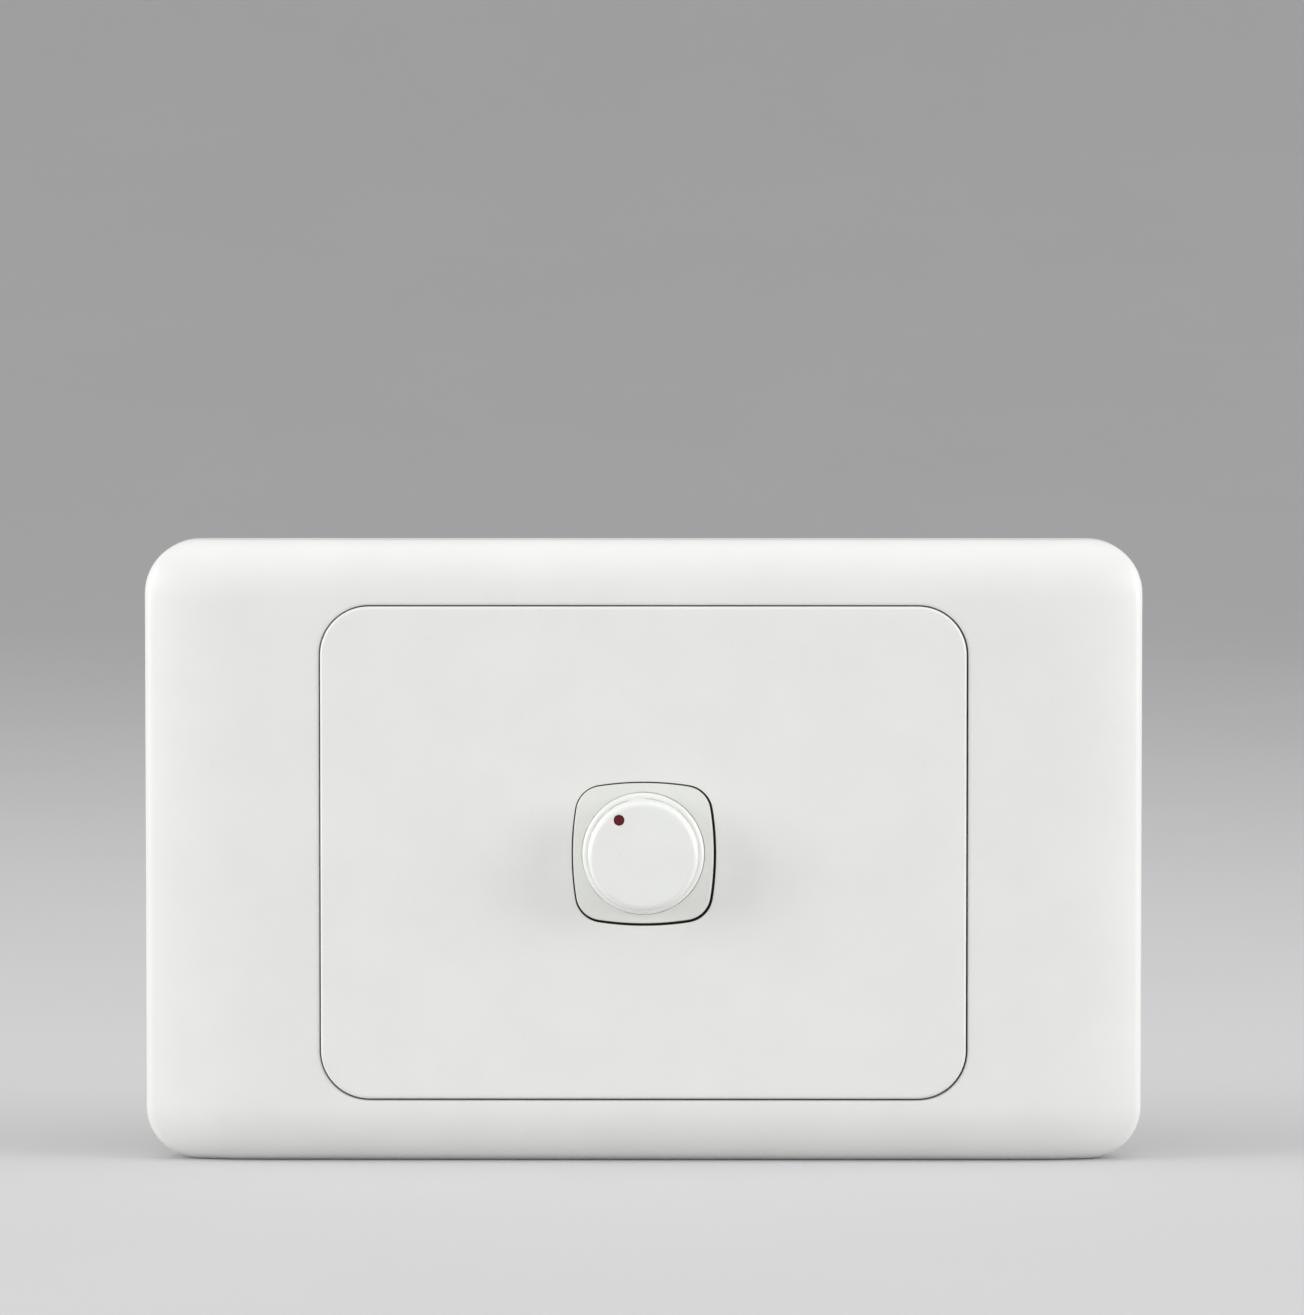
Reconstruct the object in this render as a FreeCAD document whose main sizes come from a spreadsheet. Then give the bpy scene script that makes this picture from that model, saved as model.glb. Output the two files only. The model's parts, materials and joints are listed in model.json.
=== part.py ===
import FreeCAD, Part
import math
import os
import Sketcher

# Rotary push-on dimmer on a horizontal one-gang wall plate.
# Every sub-part is drawn facing the reader: x to the right, y up and z out of the wall, with z = 0
# on the wall. FRONT then turns it so that the plate stands upright and looks along -Y.

SIZES = [
    ("plate_width", 116.0, "cover, over all"),
    ("plate_height", 72.4, "cover, over all"),
    ("plate_corner", 6.2, "corner radius of the cover in front view"),
    ("cover_face", 9.3, "flat of the cover above the wall"),
    ("cover_wall", 2.0, "moulded wall of the cover"),
    ("cover_edge", 0.45, "bevel of the cover's outer edge"),
    ("lip_bevel", 0.3, "bevel of the edge round the opening"),
    ("crown_drop", 3.4, "how far the cover's face falls at its edges"),
    ("crown_run_x", 13.5, "width of the fall at the left and right"),
    ("crown_run_y", 6.7, "width of the fall at the top and bottom"),
    ("frame_side", 20.5, "cover at each side of the raised centre panel"),
    ("frame_top", 7.6, "cover above and below the raised centre panel"),
    ("panel_corner", 5.65, "corner radius of the centre panel"),
    ("panel_face", 9.5, "centre panel above the wall"),
    ("panel_wall", 2.2, "wall of the centre panel"),
    ("panel_round", 0.3, "bevel of the panel's edge"),
    ("bezel_bevel", 0.2, "bevel of the bezel's edge"),
    ("panel_gap", 0.25, "gap between the panel and the cover"),
    ("seat_length", 8.0, "pads of the cover that sit on the flange"),
    ("seat_width", 1.4, "pads of the cover that sit on the flange"),
    ("seat_height", 2.4, "pads of the cover that sit on the flange"),
    ("seat_pitch", 38.0, "spacing of those pads"),
    ("flange_margin", 0.5, "gap between the flange and the inside of the cover"),
    ("flange_thick", 2.5, "flange of the grid plate"),
    ("fixing_inset", 16.0, "wall screws from the ends of the cover"),
    ("boss_radius", 4.6, "screw boss of the grid plate"),
    ("boss_height", 5.0, "screw boss above the wall"),
    ("fixing_hole", 2.0, "radius of the hole through the boss"),
    ("fixing_sink", 1.9, "depth of the countersink"),
    ("fixing_thread", 1.75, "radius of the wall screw's thread"),
    ("fixing_neck", 1.5, "radius of the plain neck under the head"),
    ("fixing_reach", 22.0, "thread behind the wall face"),
    ("rib_thick", 1.2, "stiffening ribs and guides"),
    ("gusset_top", 4.4, "top of the gussets at the panel's wall"),
    ("guide_low", 2.0, "lower edge of the guides round the module"),
    ("guide_clear", 4.0, "guides end short of the module's corners"),
    ("slot_across", 1.0, "driver slot of the wall screws"),
    ("slot_depth", 1.0, "driver slot of the wall screws"),
    ("head_play", 0.05, "wall screw's head to its countersink"),
    ("rib_pitch", 20.0, "spacing of the gussets along the plate"),
    ("window_half", 8.24, "half width of the four-sided window"),
    ("window_bow", 34.0, "radius of the window's bowed sides"),
    ("window_corner", 3.2, "radius of the window's corners"),
    ("window_gap", 0.24, "gap round the bezel in the window"),
    ("bay_width", 14.7, "room for the electronics at each side of the push switch"),
    ("can_clear", 4.7, "control's can to the outside of the module"),
    ("module_corner", 1.6, "upright edges of the module"),
    ("module_rear", 21.7, "depth of the module behind the wall face"),
    ("case_wall", 1.5, "wall of the module's case"),
    ("bezel_base", 2.5, "thickness of the front moulding"),
    ("guide_gap", 0.15, "module to its guides"),
    ("case_round", 0.6, "bevel of the case's rear edges"),
    ("spigot_reach", 2.0, "rim of the front moulding inside the case"),
    ("spigot_wall", 0.9, "rim of the front moulding inside the case"),
    ("spigot_gap", 0.05, "rim of the front moulding to the case"),
    ("driver_hole", 3.4, "width of the screwdriver holes in the case"),
    ("vent_width", 1.2, "shallow grooves in the case's long wall"),
    ("vent_length", 12.0, "shallow grooves in the case's long wall"),
    ("vent_pitch", 5.0, "shallow grooves in the case's long wall"),
    ("vent_place", -9.0, "middle of those grooves behind the wall face"),
    ("vent_depth", 0.6, "shallow grooves in the case's long wall"),
    ("post_inset", 4.0, "case screws from the sides of the module"),
    ("post_width", 4.4, "square screw post on the front moulding"),
    ("post_reach", 16.0, "length of the screw posts"),
    ("case_screw", 1.1, "radius of the case screw"),
    ("screw_head", 2.1, "radius of the case screw's head"),
    ("screw_cap", 1.1, "height of the case screw's head"),
    ("screw_bite", 5.0, "case screw inside the post"),
    ("screw_spare", 1.0, "pilot hole beyond the case screw"),
    ("slot_width", 0.6, "driver slots of the small screws"),
    ("knob_skirt", 7.14, "radius of the knob's skirt"),
    ("knob_cap", 6.37, "radius of the knob's grip"),
    ("knob_height", 4.5, "knob above the panel"),
    ("skirt_height", 1.0, "skirt above the panel"),
    ("knob_round", 0.42, "bevel of the knob's top edge"),
    ("skirt_round", 0.3, "bevel of the skirt"),
    ("knob_hollow", 5.45, "radius of the hollow under the knob"),
    ("knob_top", 1.4, "thickness of the knob's top"),
    ("knob_hub", 4.0, "radius of the knob's hub"),
    ("well_gap", 0.2, "skirt to the well round it"),
    ("well_depth", 3.2, "well below the panel's face"),
    ("skirt_sunk", 1.4, "skirt below the panel's face at rest"),
    ("push_travel", 1.5, "travel of the knob when pressed"),
    ("dot_radius", 0.6, "indicator dot"),
    ("dot_place", 5.0, "indicator dot from the knob's axis"),
    ("dot_angle", 33.6, "indicator dot, anticlockwise from the top"),
    ("dot_depth", 0.5, "depth of the dot's insert"),
    ("shaft_radius", 3.0, "control shaft"),
    ("shaft_flat", 0.6, "depth of the flat along the shaft"),
    ("shaft_play", 0.05, "shaft to its bushing and rotor"),
    ("seat_play", 0.02, "round a piece that is seated in another"),
    ("wafer_play", 0.3, "shaft to the wafer's hole"),
    ("shaft_poke", 0.9, "inner end of the shaft beyond the wafer"),
    ("shaft_bevel", 0.3, "bevel at the shaft's inner end"),
    ("clip_thick", 0.3, "spring band round the knob's hub"),
    ("clip_width", 1.6, "spring band round the knob's hub"),
    ("bushing_radius", 3.5, "threaded bushing"),
    ("bushing_play", 0.05, "bushing to the holes it passes through"),
    ("bushing_foot", 9.6, "square flange of the bushing inside the can"),
    ("bushing_rise", 2.3, "bushing above the well's floor"),
    ("nut_flats", 9.0, "nut across flats"),
    ("nut_thick", 1.5, "nut"),
    ("washer_radius", 5.2, "washer under the nut"),
    ("washer_thick", 0.4, "washer under the nut"),
    ("can_width", 15.6, "metal can of the control"),
    ("can_depth", 6.0, "metal can of the control"),
    ("can_wall", 0.5, "metal can of the control"),
    ("wafer_thick", 0.8, "wafer that carries the track"),
    ("rotor_clear", 0.9, "rotor to the inside of the can"),
    ("switch_width", 14.6, "push switch behind the control"),
    ("switch_depth", 7.2, "push switch behind the control"),
    ("switch_wall", 1.1, "wall of the push switch"),
    ("plunger_radius", 2.3, "plunger of the push switch"),
    ("plunger_length", 3.2, "plunger of the push switch"),
    ("plunger_nose", 1.0, "plunger above the underside of the moving contact"),
    ("plunger_flange", 6.8, "width of the plunger's flange"),
    ("flange_web", 0.6, "thickness of the plunger's flange"),
    ("contact_gap", 0.1, "left between the contacts with the knob pressed"),
    ("contact_thick", 0.4, "contact strip"),
    ("contact_width", 2.4, "contact strip"),
    ("contact_pad", 1.6, "face of a fixed contact"),
    ("contact_reach", 5.8, "end of the contact strip from the axis"),
    ("spring_radius", 2.9, "mean radius of the return spring"),
    ("spring_wire", 0.2, "radius of the spring's wire"),
    ("spring_turns", 3.5, "turns of the return spring"),
    ("board_play", 0.3, "circuit board to the inside of the case"),
    ("board_thick", 1.6, "circuit board"),
    ("board_gap", 0.25, "circuit board to the screw posts"),
    ("sink_thick", 1.2, "aluminium heat sink"),
    ("sink_depth", 8.6, "heat sink along the wall of the case"),
    ("terminal_width", 5.6, "brass terminal"),
    ("terminal_height", 7.2, "brass terminal"),
    ("terminal_depth", 8.0, "brass terminal"),
    ("terminal_leg", 0.8, "leg of a terminal"),
    ("terminal_bore", 1.7, "radius of the wire's bore"),
    ("terminal_pitch", 7.6, "spacing of the terminals"),
    ("terminal_clear", 2.2, "terminals to the inside of the case's long wall"),
    ("entry_radius", 2.1, "wire entry in the case"),
    ("terminal_screw", 1.4, "radius of the terminal screws"),
    ("terminal_seat", 1.0, "blind end of the wire's bore"),
    ("tab_width", 14.0, "tab of the wafer that carries the pins"),
    ("tab_clear", 1.0, "end of that tab to the inside of the case"),
    ("pin_width", 0.9, "pins of the control"),
    ("pin_pitch", 5.0, "pins of the control"),
    ("pin_inset", 1.0, "pins from the end of the tab"),
    ("brush_width", 8.2, "brush strip under the rotor"),
    ("brush_thick", 0.3, "brush strip under the rotor"),
    ("brush_rise", 0.9, "rotor above the track"),
    ("finger_width", 1.2, "fingers of the brush"),
    ("brush_inset", 1.0, "track that the brush runs on, inside the rotor's rim"),
    ("running_gap", 0.1, "between pieces that slide or turn past each other"),
    ("sink_clear", 0.8, "heat sink to the screw posts"),
    ("sink_foot", 3.2, "foot of the heat sink on the board"),
    ("triac_width", 10.0, "power switch on the heat sink"),
    ("triac_length", 7.6, "power switch on the heat sink"),
    ("triac_thick", 4.2, "power switch on the heat sink"),
    ("triac_place", -6.0, "power switch from the centre line"),
    ("triac_tab", 1.4, "metal tab of the power switch"),
    ("triac_bare", 2.8, "bare tab beyond its screw"),
    ("triac_pitch", 2.54, "legs of the power switch"),
    ("tie_screw", 1.4, "radius of the screw through the power switch"),
    ("tie_head", 2.1, "radius of that screw's head"),
    ("tie_cap", 1.4, "height of that screw's head"),
    ("tie_inset", 2.24, "that screw from the heat sink's free edge"),
    ("choke_outer", 2.6, "radius of the choke over its winding"),
    ("choke_inner", 1.5, "radius of the choke's iron rod"),
    ("choke_bare", 1.0, "rod beyond the winding at each end"),
    ("choke_x", 8.4, "choke from the centre line"),
    ("film_inset", 7.4, "film capacitor from the end of the board"),
    ("film_width", 5.4, "film capacitor"),
    ("film_length", 12.0, "film capacitor"),
    ("film_tall", 8.6, "film capacitor above the board"),
    ("timing_inset", 2.8, "timing capacitor from the end of the board"),
    ("timing_width", 3.5, "timing capacitor"),
    ("timing_length", 7.0, "timing capacitor"),
    ("timing_place", 5.25, "timing capacitor above the centre line"),
    ("timing_tall", 6.5, "timing capacitor above the board"),
    ("fuse_inset", 8.0, "fuse from the end of the board"),
    ("fuse_radius", 1.9, "fuse"),
    ("fuse_length", 14.0, "fuse"),
    ("diac_radius", 0.9, "trigger diode"),
    ("diac_length", 3.8, "trigger diode"),
    ("resistor_radius", 1.1, "resistors"),
    ("resistor_length", 5.0, "resistors"),
    ("resistor_place", 1.55, "resistor beside the timing capacitor, below the centre line"),
    ("lead_width", 0.6, "leads of the small parts"),
]

FRONT = FreeCAD.Placement(FreeCAD.Vector(), FreeCAD.Rotation(FreeCAD.Vector(1, 0, 0), 90))

doc = FreeCAD.newDocument("rotary_dimmer")


class Size:
    """A number together with the sheet formula that gives it, so that a sum of sizes is one too."""

    def __init__(self, number, formula):
        self.number = float(number)
        self.formula = formula

    def __float__(self):
        return self.number

    def joined(self, other, sign, number):
        return Size(number, f"({self.formula} {sign} {sized(other).formula})")

    def __add__(self, other):
        return self.joined(other, "+", self.number + float(other))

    def __sub__(self, other):
        return self.joined(other, "-", self.number - float(other))

    def __mul__(self, other):
        return self.joined(other, "*", self.number * float(other))

    def __truediv__(self, other):
        return self.joined(other, "/", self.number / float(other))

    def __radd__(self, other):
        return sized(other) + self

    def __rsub__(self, other):
        return sized(other) - self

    def __rmul__(self, other):
        return sized(other) * self

    def __neg__(self):
        return sized(0) - self


def sized(value):
    """A plain number as a Size."""
    return value if isinstance(value, Size) else Size(value, repr(float(value)))


def root(value):
    return Size(math.sqrt(float(value)), f"sqrt({value.formula})")


def cosine(angle):
    return Size(math.cos(math.radians(float(angle))), f"cos({angle.formula} * 1 deg)")


def sine(angle):
    return Size(math.sin(math.radians(float(angle))), f"sin({angle.formula} * 1 deg)")


class Sheet:
    """The driving sizes: each is an attribute, read back from the spreadsheet's cell."""

    def __init__(self, rows):
        self.cells = doc.addObject("Spreadsheet::Sheet", "size")
        for row, (alias, number, meaning) in enumerate(rows, start=1):
            self.cells.set(f"A{row}", alias)
            self.cells.set(f"B{row}", str(number))
            self.cells.set(f"C{row}", meaning)
            self.cells.setAlias(f"B{row}", alias)
        doc.recompute()
        for alias, _, _ in rows:
            setattr(self, alias, Size(getattr(self.cells, alias), f"size.{alias}"))


d = Sheet(SIZES)


def bind(thing, name, size):
    thing.setExpression(name, sized(size).formula)


def new_body(label):
    """An empty sub-part, turned to the front."""
    body = doc.addObject("PartDesign::Body", label)
    body.Label = label
    body.Placement = FRONT
    return body


def sketch_on(body, role, name, along_x=0, along_normal=0):
    """A sketch on one of the body's origin planes, moved along its x and its normal."""
    plane = [item for item in body.Origin.OriginFeatures if item.Role == role][0]
    sketch = body.newObject("Sketcher::SketchObject", name)
    sketch.AttachmentSupport = [(plane, "")]
    sketch.MapMode = "FlatFace"
    bind(sketch, "AttachmentOffset.Base.x", along_x)
    bind(sketch, "AttachmentOffset.Base.z", along_normal)
    return sketch


def level(body, name, z):
    """A sketch parallel to the wall at the height z."""
    return sketch_on(body, "XY_Plane", name, 0, z)


def upright(body, name, x=0, y=0):
    """A sketch across the plate through (x, y), for turned forms: its axes are the radius and z."""
    return sketch_on(body, "XZ_Plane", name, x, -sized(y))


def hold(sketch, kind, geometry, point, size):
    """Bind a point's distance from the sketch's origin along one axis."""
    if not isinstance(size, Size) and float(size) == 0:
        axis = -2 if kind == "DistanceX" else -1
        sketch.addConstraint(Sketcher.Constraint("PointOnObject", geometry, point, axis))
        return
    index = sketch.addConstraint(Sketcher.Constraint(kind, -1, 1, geometry, point, float(size)))
    bind(sketch, f"Constraints[{index}]", size)


def set_radius(sketch, geometry, size):
    index = sketch.addConstraint(Sketcher.Constraint("Radius", geometry, float(size)))
    bind(sketch, f"Constraints[{index}]", size)


def spot(x, y):
    return FreeCAD.Vector(float(x), float(y), 0)


def polygon(sketch, points):
    """Straight sides round the points, each held by its two distances from the origin."""
    first = sketch.GeometryCount
    count = len(points)
    sides = [Part.LineSegment(spot(*points[i]), spot(*points[(i + 1) % count])) for i in range(count)]
    sketch.addGeometry(sides, False)
    for i in range(count):
        follower = first + (i + 1) % count
        sketch.addConstraint(Sketcher.Constraint("Coincident", first + i, 2, follower, 1))
    for i, (x, y) in enumerate(points):
        hold(sketch, "DistanceX", first + i, 1, x)
        hold(sketch, "DistanceY", first + i, 1, y)


def rectangle(sketch, width, height, x=0, y=0):
    left = sized(x) - sized(width) / 2
    right = sized(x) + sized(width) / 2
    low = sized(y) - sized(height) / 2
    high = sized(y) + sized(height) / 2
    polygon(sketch, [(left, low), (right, low), (right, high), (left, high)])


def cut_rectangle(sketch, width, height, cut):
    """A centred rectangle with its corners cut off."""
    x = sized(width) / 2
    y = sized(height) / 2
    polygon(sketch, [
        (cut - x, -y), (x - cut, -y), (x, cut - y), (x, y - cut),
        (x - cut, y), (cut - x, y), (-x, y - cut), (-x, cut - y),
    ])


def circle(sketch, radius, x=0, y=0):
    shape = Part.Circle(spot(x, y), FreeCAD.Vector(0, 0, 1), float(radius))
    index = sketch.addGeometry(shape, False)
    hold(sketch, "DistanceX", index, 3, x)
    hold(sketch, "DistanceY", index, 3, y)
    set_radius(sketch, index, radius)


def arc(center, radius, start, end):
    """An arc from one angle to another, in degrees, anticlockwise."""
    whole = Part.Circle(spot(*center), FreeCAD.Vector(0, 0, 1), float(radius))
    return Part.ArcOfCircle(whole, math.radians(start), math.radians(end))


def rounded_rectangle(sketch, width, height, radius, x=0, y=0):
    """Four sides and four corner arcs, tangent where they meet."""
    left = sized(x) - sized(width) / 2
    right = sized(x) + sized(width) / 2
    low = sized(y) - sized(height) / 2
    high = sized(y) + sized(height) / 2
    a = [float(v) for v in (left, right, low, high)]
    r = float(radius)
    first = sketch.GeometryCount
    shapes = [
        Part.LineSegment(spot(a[0] + r, a[2]), spot(a[1] - r, a[2])),
        arc((a[1] - r, a[2] + r), r, 270, 360),
        Part.LineSegment(spot(a[1], a[2] + r), spot(a[1], a[3] - r)),
        arc((a[1] - r, a[3] - r), r, 0, 90),
        Part.LineSegment(spot(a[1] - r, a[3]), spot(a[0] + r, a[3])),
        arc((a[0] + r, a[3] - r), r, 90, 180),
        Part.LineSegment(spot(a[0], a[3] - r), spot(a[0], a[2] + r)),
        arc((a[0] + r, a[2] + r), r, 180, 270),
    ]
    sketch.addGeometry(shapes, False)
    for i in range(8):
        follower = first + (i + 1) % 8
        sketch.addConstraint(Sketcher.Constraint("Tangent", first + i, 2, follower, 1))
    for i, kind in ((0, "Horizontal"), (2, "Vertical"), (4, "Horizontal"), (6, "Vertical")):
        sketch.addConstraint(Sketcher.Constraint(kind, first + i))
    for i in (3, 5, 7):
        sketch.addConstraint(Sketcher.Constraint("Equal", first + 1, first + i))
    set_radius(sketch, first + 1, radius)
    hold(sketch, "DistanceY", first, 1, low)
    hold(sketch, "DistanceX", first + 2, 1, right)
    hold(sketch, "DistanceY", first + 4, 1, high)
    hold(sketch, "DistanceX", first + 6, 1, left)


def bowed_square(sketch, half, bow, corner):
    """Four bowed sides of one radius, joined by tangent corner arcs of another."""
    set_back = sized(bow) - half
    inner = sized(bow) - corner
    middle = (root(inner * inner * 2 - set_back * set_back) - set_back) / 2
    swing = math.degrees(math.atan2(float(middle), float(middle + set_back)))
    first = sketch.GeometryCount
    shapes = []
    centers = []
    for turn in (0, 90, 180, 270):
        way = FreeCAD.Vector(math.cos(math.radians(turn)), math.sin(math.radians(turn)), 0)
        diagonal = FreeCAD.Vector(way.x - way.y, way.y + way.x, 0)
        centers.append((-way.x * float(set_back), -way.y * float(set_back)))
        shapes.append(arc(centers[-1], bow, turn - swing, turn + swing))
        center = (diagonal.x * float(middle), diagonal.y * float(middle))
        shapes.append(arc(center, corner, turn + swing, turn + 90 - swing))
    sketch.addGeometry(shapes, False)
    for i in range(8):
        follower = first + (i + 1) % 8
        sketch.addConstraint(Sketcher.Constraint("Tangent", first + i, 2, follower, 1))
    for i in (2, 4, 6):
        sketch.addConstraint(Sketcher.Constraint("Equal", first, first + i))
        sketch.addConstraint(Sketcher.Constraint("Equal", first + 1, first + 1 + i))
    set_radius(sketch, first, bow)
    set_radius(sketch, first + 1, corner)
    for i, (x, y) in enumerate(((-set_back, 0), (0, -set_back), (set_back, 0), (0, set_back))):
        hold(sketch, "DistanceX", first + 2 * i, 3, x)
        hold(sketch, "DistanceY", first + 2 * i, 3, y)


def add(body, sketch, length):
    """Pad a sketch along its normal; a negative length pads the other way."""
    feature = body.newObject("PartDesign::Pad", sketch.Name + "_pad")
    feature.Profile = sketch
    feature.Reversed = float(length) < 0
    bind(feature, "Length", -length if float(length) < 0 else length)
    return feature


def take(body, sketch, length):
    """Cut a sketch away along its normal; a negative length cuts the other way."""
    feature = body.newObject("PartDesign::Pocket", sketch.Name + "_cut")
    feature.Profile = sketch
    feature.Reversed = float(length) > 0
    bind(feature, "Length", -length if float(length) < 0 else length)
    return feature


def turn(body, sketch):
    """Turn a sketch once round its own upright axis."""
    feature = body.newObject("PartDesign::Revolution", sketch.Name + "_turned")
    feature.Profile = sketch
    feature.ReferenceAxis = (sketch, ["V_Axis"])
    feature.Angle = 360
    return feature


def bevelled(body, size, chosen):
    """Bevel the edges of the body's last feature for which chosen(edge) is true."""
    doc.recompute()
    base = body.Tip
    names = [f"Edge{i}" for i, edge in enumerate(base.Shape.Edges, start=1) if chosen(edge)]
    feature = body.newObject("PartDesign::Chamfer", base.Name + "_bevel")
    feature.Base = (base, names)
    bind(feature, "Size", size)
    return feature


def at_level(z, reach=None):
    """A test for edges that lie at the height z, and within reach of the centre if that is given."""

    def chosen(edge):
        box = edge.BoundBox
        flat = abs(box.ZMin - float(z)) < 1e-4 and abs(box.ZMax - float(z)) < 1e-4
        if reach is None:
            return flat
        return flat and max(abs(box.XMin), abs(box.XMax)) < float(reach)

    return chosen


def fall_radius(run):
    """Radius of the arc that starts level and falls by crown_drop over run."""
    return (run * run + d.crown_drop * d.crown_drop) / (d.crown_drop * 2)


def fall(radius, run):
    """How far an arc of that radius falls over run."""
    return radius - root(radius * radius - run * run)


def sweep_of(radius, run):
    return math.degrees(math.asin(float(run) / float(radius)))


def join(sketch, pairs, kind="Coincident"):
    """Join geometry ends; each pair is (geometry, end, geometry, end)."""
    for pair in pairs:
        sketch.addConstraint(Sketcher.Constraint(kind, *pair))


def panel_width():
    return d.plate_width - d.frame_side * 2


def panel_height():
    return d.plate_height - d.frame_top * 2


def fixing_x():
    return d.plate_width / 2 - d.fixing_inset


def module_width():
    return d.switch_width + d.bay_width * 2


def module_height():
    return d.can_width + d.can_clear * 2


def post_x():
    return module_width() / 2 - d.post_inset


def post_y():
    return module_height() / 2 - d.post_inset


def crown_section(body, half, flat, top, radius, place, headroom):
    """The air above the crown across the plate: level in the middle, with an arc down at each side."""
    sketch = sketch_on(body, "YZ_Plane", "crown_section", 0, place)
    swing = sweep_of(radius, half - flat)
    low = top - fall(radius, half - flat)
    high = top + headroom
    middle = top - radius
    shapes = [
        arc((-flat, middle), radius, 90, 90 + swing),
        Part.LineSegment(spot(-half, low), spot(-half, high)),
        Part.LineSegment(spot(-half, high), spot(half, high)),
        Part.LineSegment(spot(half, high), spot(half, low)),
        arc((flat, middle), radius, 90 - swing, 90),
        Part.LineSegment(spot(flat, top), spot(-flat, top)),
    ]
    sketch.addGeometry(shapes, False)
    join(sketch, [(0, 2, 1, 1), (1, 2, 2, 1), (2, 2, 3, 1), (3, 2, 4, 1)])
    join(sketch, [(5, 2, 0, 1), (4, 2, 5, 1)], "Tangent")
    for index, kind in ((1, "Vertical"), (3, "Vertical"), (2, "Horizontal"), (5, "Horizontal")):
        sketch.addConstraint(Sketcher.Constraint(kind, index))
    sketch.addConstraint(Sketcher.Constraint("Equal", 0, 4))
    set_radius(sketch, 0, radius)
    hold(sketch, "DistanceX", 5, 1, flat)
    hold(sketch, "DistanceX", 5, 2, -flat)
    hold(sketch, "DistanceY", 5, 1, top)
    hold(sketch, "DistanceX", 1, 1, -half)
    hold(sketch, "DistanceX", 3, 2, half)
    hold(sketch, "DistanceY", 2, 1, high)
    return sketch


def crown_path(body, half, flat, radius):
    """The line that the section follows along the plate: level, with an arc down at each end."""
    sketch = sketch_on(body, "XZ_Plane", "crown_path")
    swing = sweep_of(radius, half - flat)
    shapes = [
        arc((-flat, -radius), radius, 90, 90 + swing),
        Part.LineSegment(spot(-flat, 0), spot(flat, 0)),
        arc((flat, -radius), radius, 90 - swing, 90),
    ]
    sketch.addGeometry(shapes, False)
    join(sketch, [(0, 1, 1, 1), (1, 2, 2, 2)], "Tangent")
    sketch.addConstraint(Sketcher.Constraint("Horizontal", 1))
    sketch.addConstraint(Sketcher.Constraint("Equal", 0, 2))
    set_radius(sketch, 0, radius)
    hold(sketch, "DistanceY", 1, 1, 0)
    hold(sketch, "DistanceX", 1, 1, -flat)
    hold(sketch, "DistanceX", 1, 2, flat)
    hold(sketch, "DistanceX", 0, 2, -half)
    hold(sketch, "DistanceX", 2, 1, half)
    return sketch


def crowned_block(label):
    """A rounded block whose face falls towards all four edges."""
    body = new_body(label)
    half_x = d.plate_width / 2
    half_y = d.plate_height / 2
    outline = level(body, "outline", 0)
    rounded_rectangle(outline, d.plate_width, d.plate_height, d.plate_corner)
    add(body, outline, d.cover_face)
    flat_x = half_x - d.crown_run_x
    flat_y = half_y - d.crown_run_y
    radius_x = fall_radius(d.crown_run_x)
    start = d.cover_face - fall(radius_x, d.crown_run_x)
    section = crown_section(body, half_y, flat_y, start, fall_radius(d.crown_run_y), -half_x, d.cover_face)
    path = crown_path(body, half_x, flat_x, radius_x)
    crown = body.newObject("PartDesign::SubtractivePipe", "crown")
    crown.Profile = section
    crown.Spine = (path, [])
    crown.Mode = "Fixed"
    return body


def hollow_core():
    """The space inside the cover: straight walls, then a roof that slopes in under the crown."""
    body = new_body("surround_core")
    width = d.plate_width - d.cover_wall * 2
    height = d.plate_height - d.cover_wall * 2
    run = d.crown_run_x - d.cover_wall
    eaves = d.cover_face - d.cover_wall - fall(fall_radius(d.crown_run_x), run)
    walls = level(body, "walls", 0)
    rounded_rectangle(walls, width, height, d.plate_corner - d.cover_wall)
    add(body, walls, eaves)
    foot = level(body, "roof_foot", eaves)
    cut_rectangle(foot, width, height, d.plate_corner - d.cover_wall)
    top = level(body, "roof_top", d.cover_face - d.cover_wall)
    flat_width = d.plate_width - d.crown_run_x * 2
    flat_height = d.plate_height - d.crown_run_y * 2
    cut_rectangle(top, flat_width, flat_height, d.cover_wall)
    roof = body.newObject("PartDesign::AdditiveLoft", "roof")
    roof.Profile = foot
    roof.Sections = [top]
    roof.Ruled = True
    return body


def is_rim(edge):
    """The edge where the crown meets the upright side wall."""
    box = edge.BoundBox
    length_x = box.XMax - box.XMin
    length_y = box.YMax - box.YMin
    if max(length_x, length_y) < 1e-3 or box.ZMin < 1e-3:
        return False
    on_side = box.XMax > float(d.plate_width) / 2 - 1e-3 or box.XMin < 1e-3 - float(d.plate_width) / 2
    on_end = box.YMax > float(d.plate_height) / 2 - 1e-3 or box.YMin < 1e-3 - float(d.plate_height) / 2
    along_side = on_side and length_x < float(d.plate_corner) + 1e-3
    along_end = on_end and length_y < float(d.plate_corner) + 1e-3
    return (along_side or along_end) and box.ZMax < float(d.cover_face - d.crown_drop) + 1e-3


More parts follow.
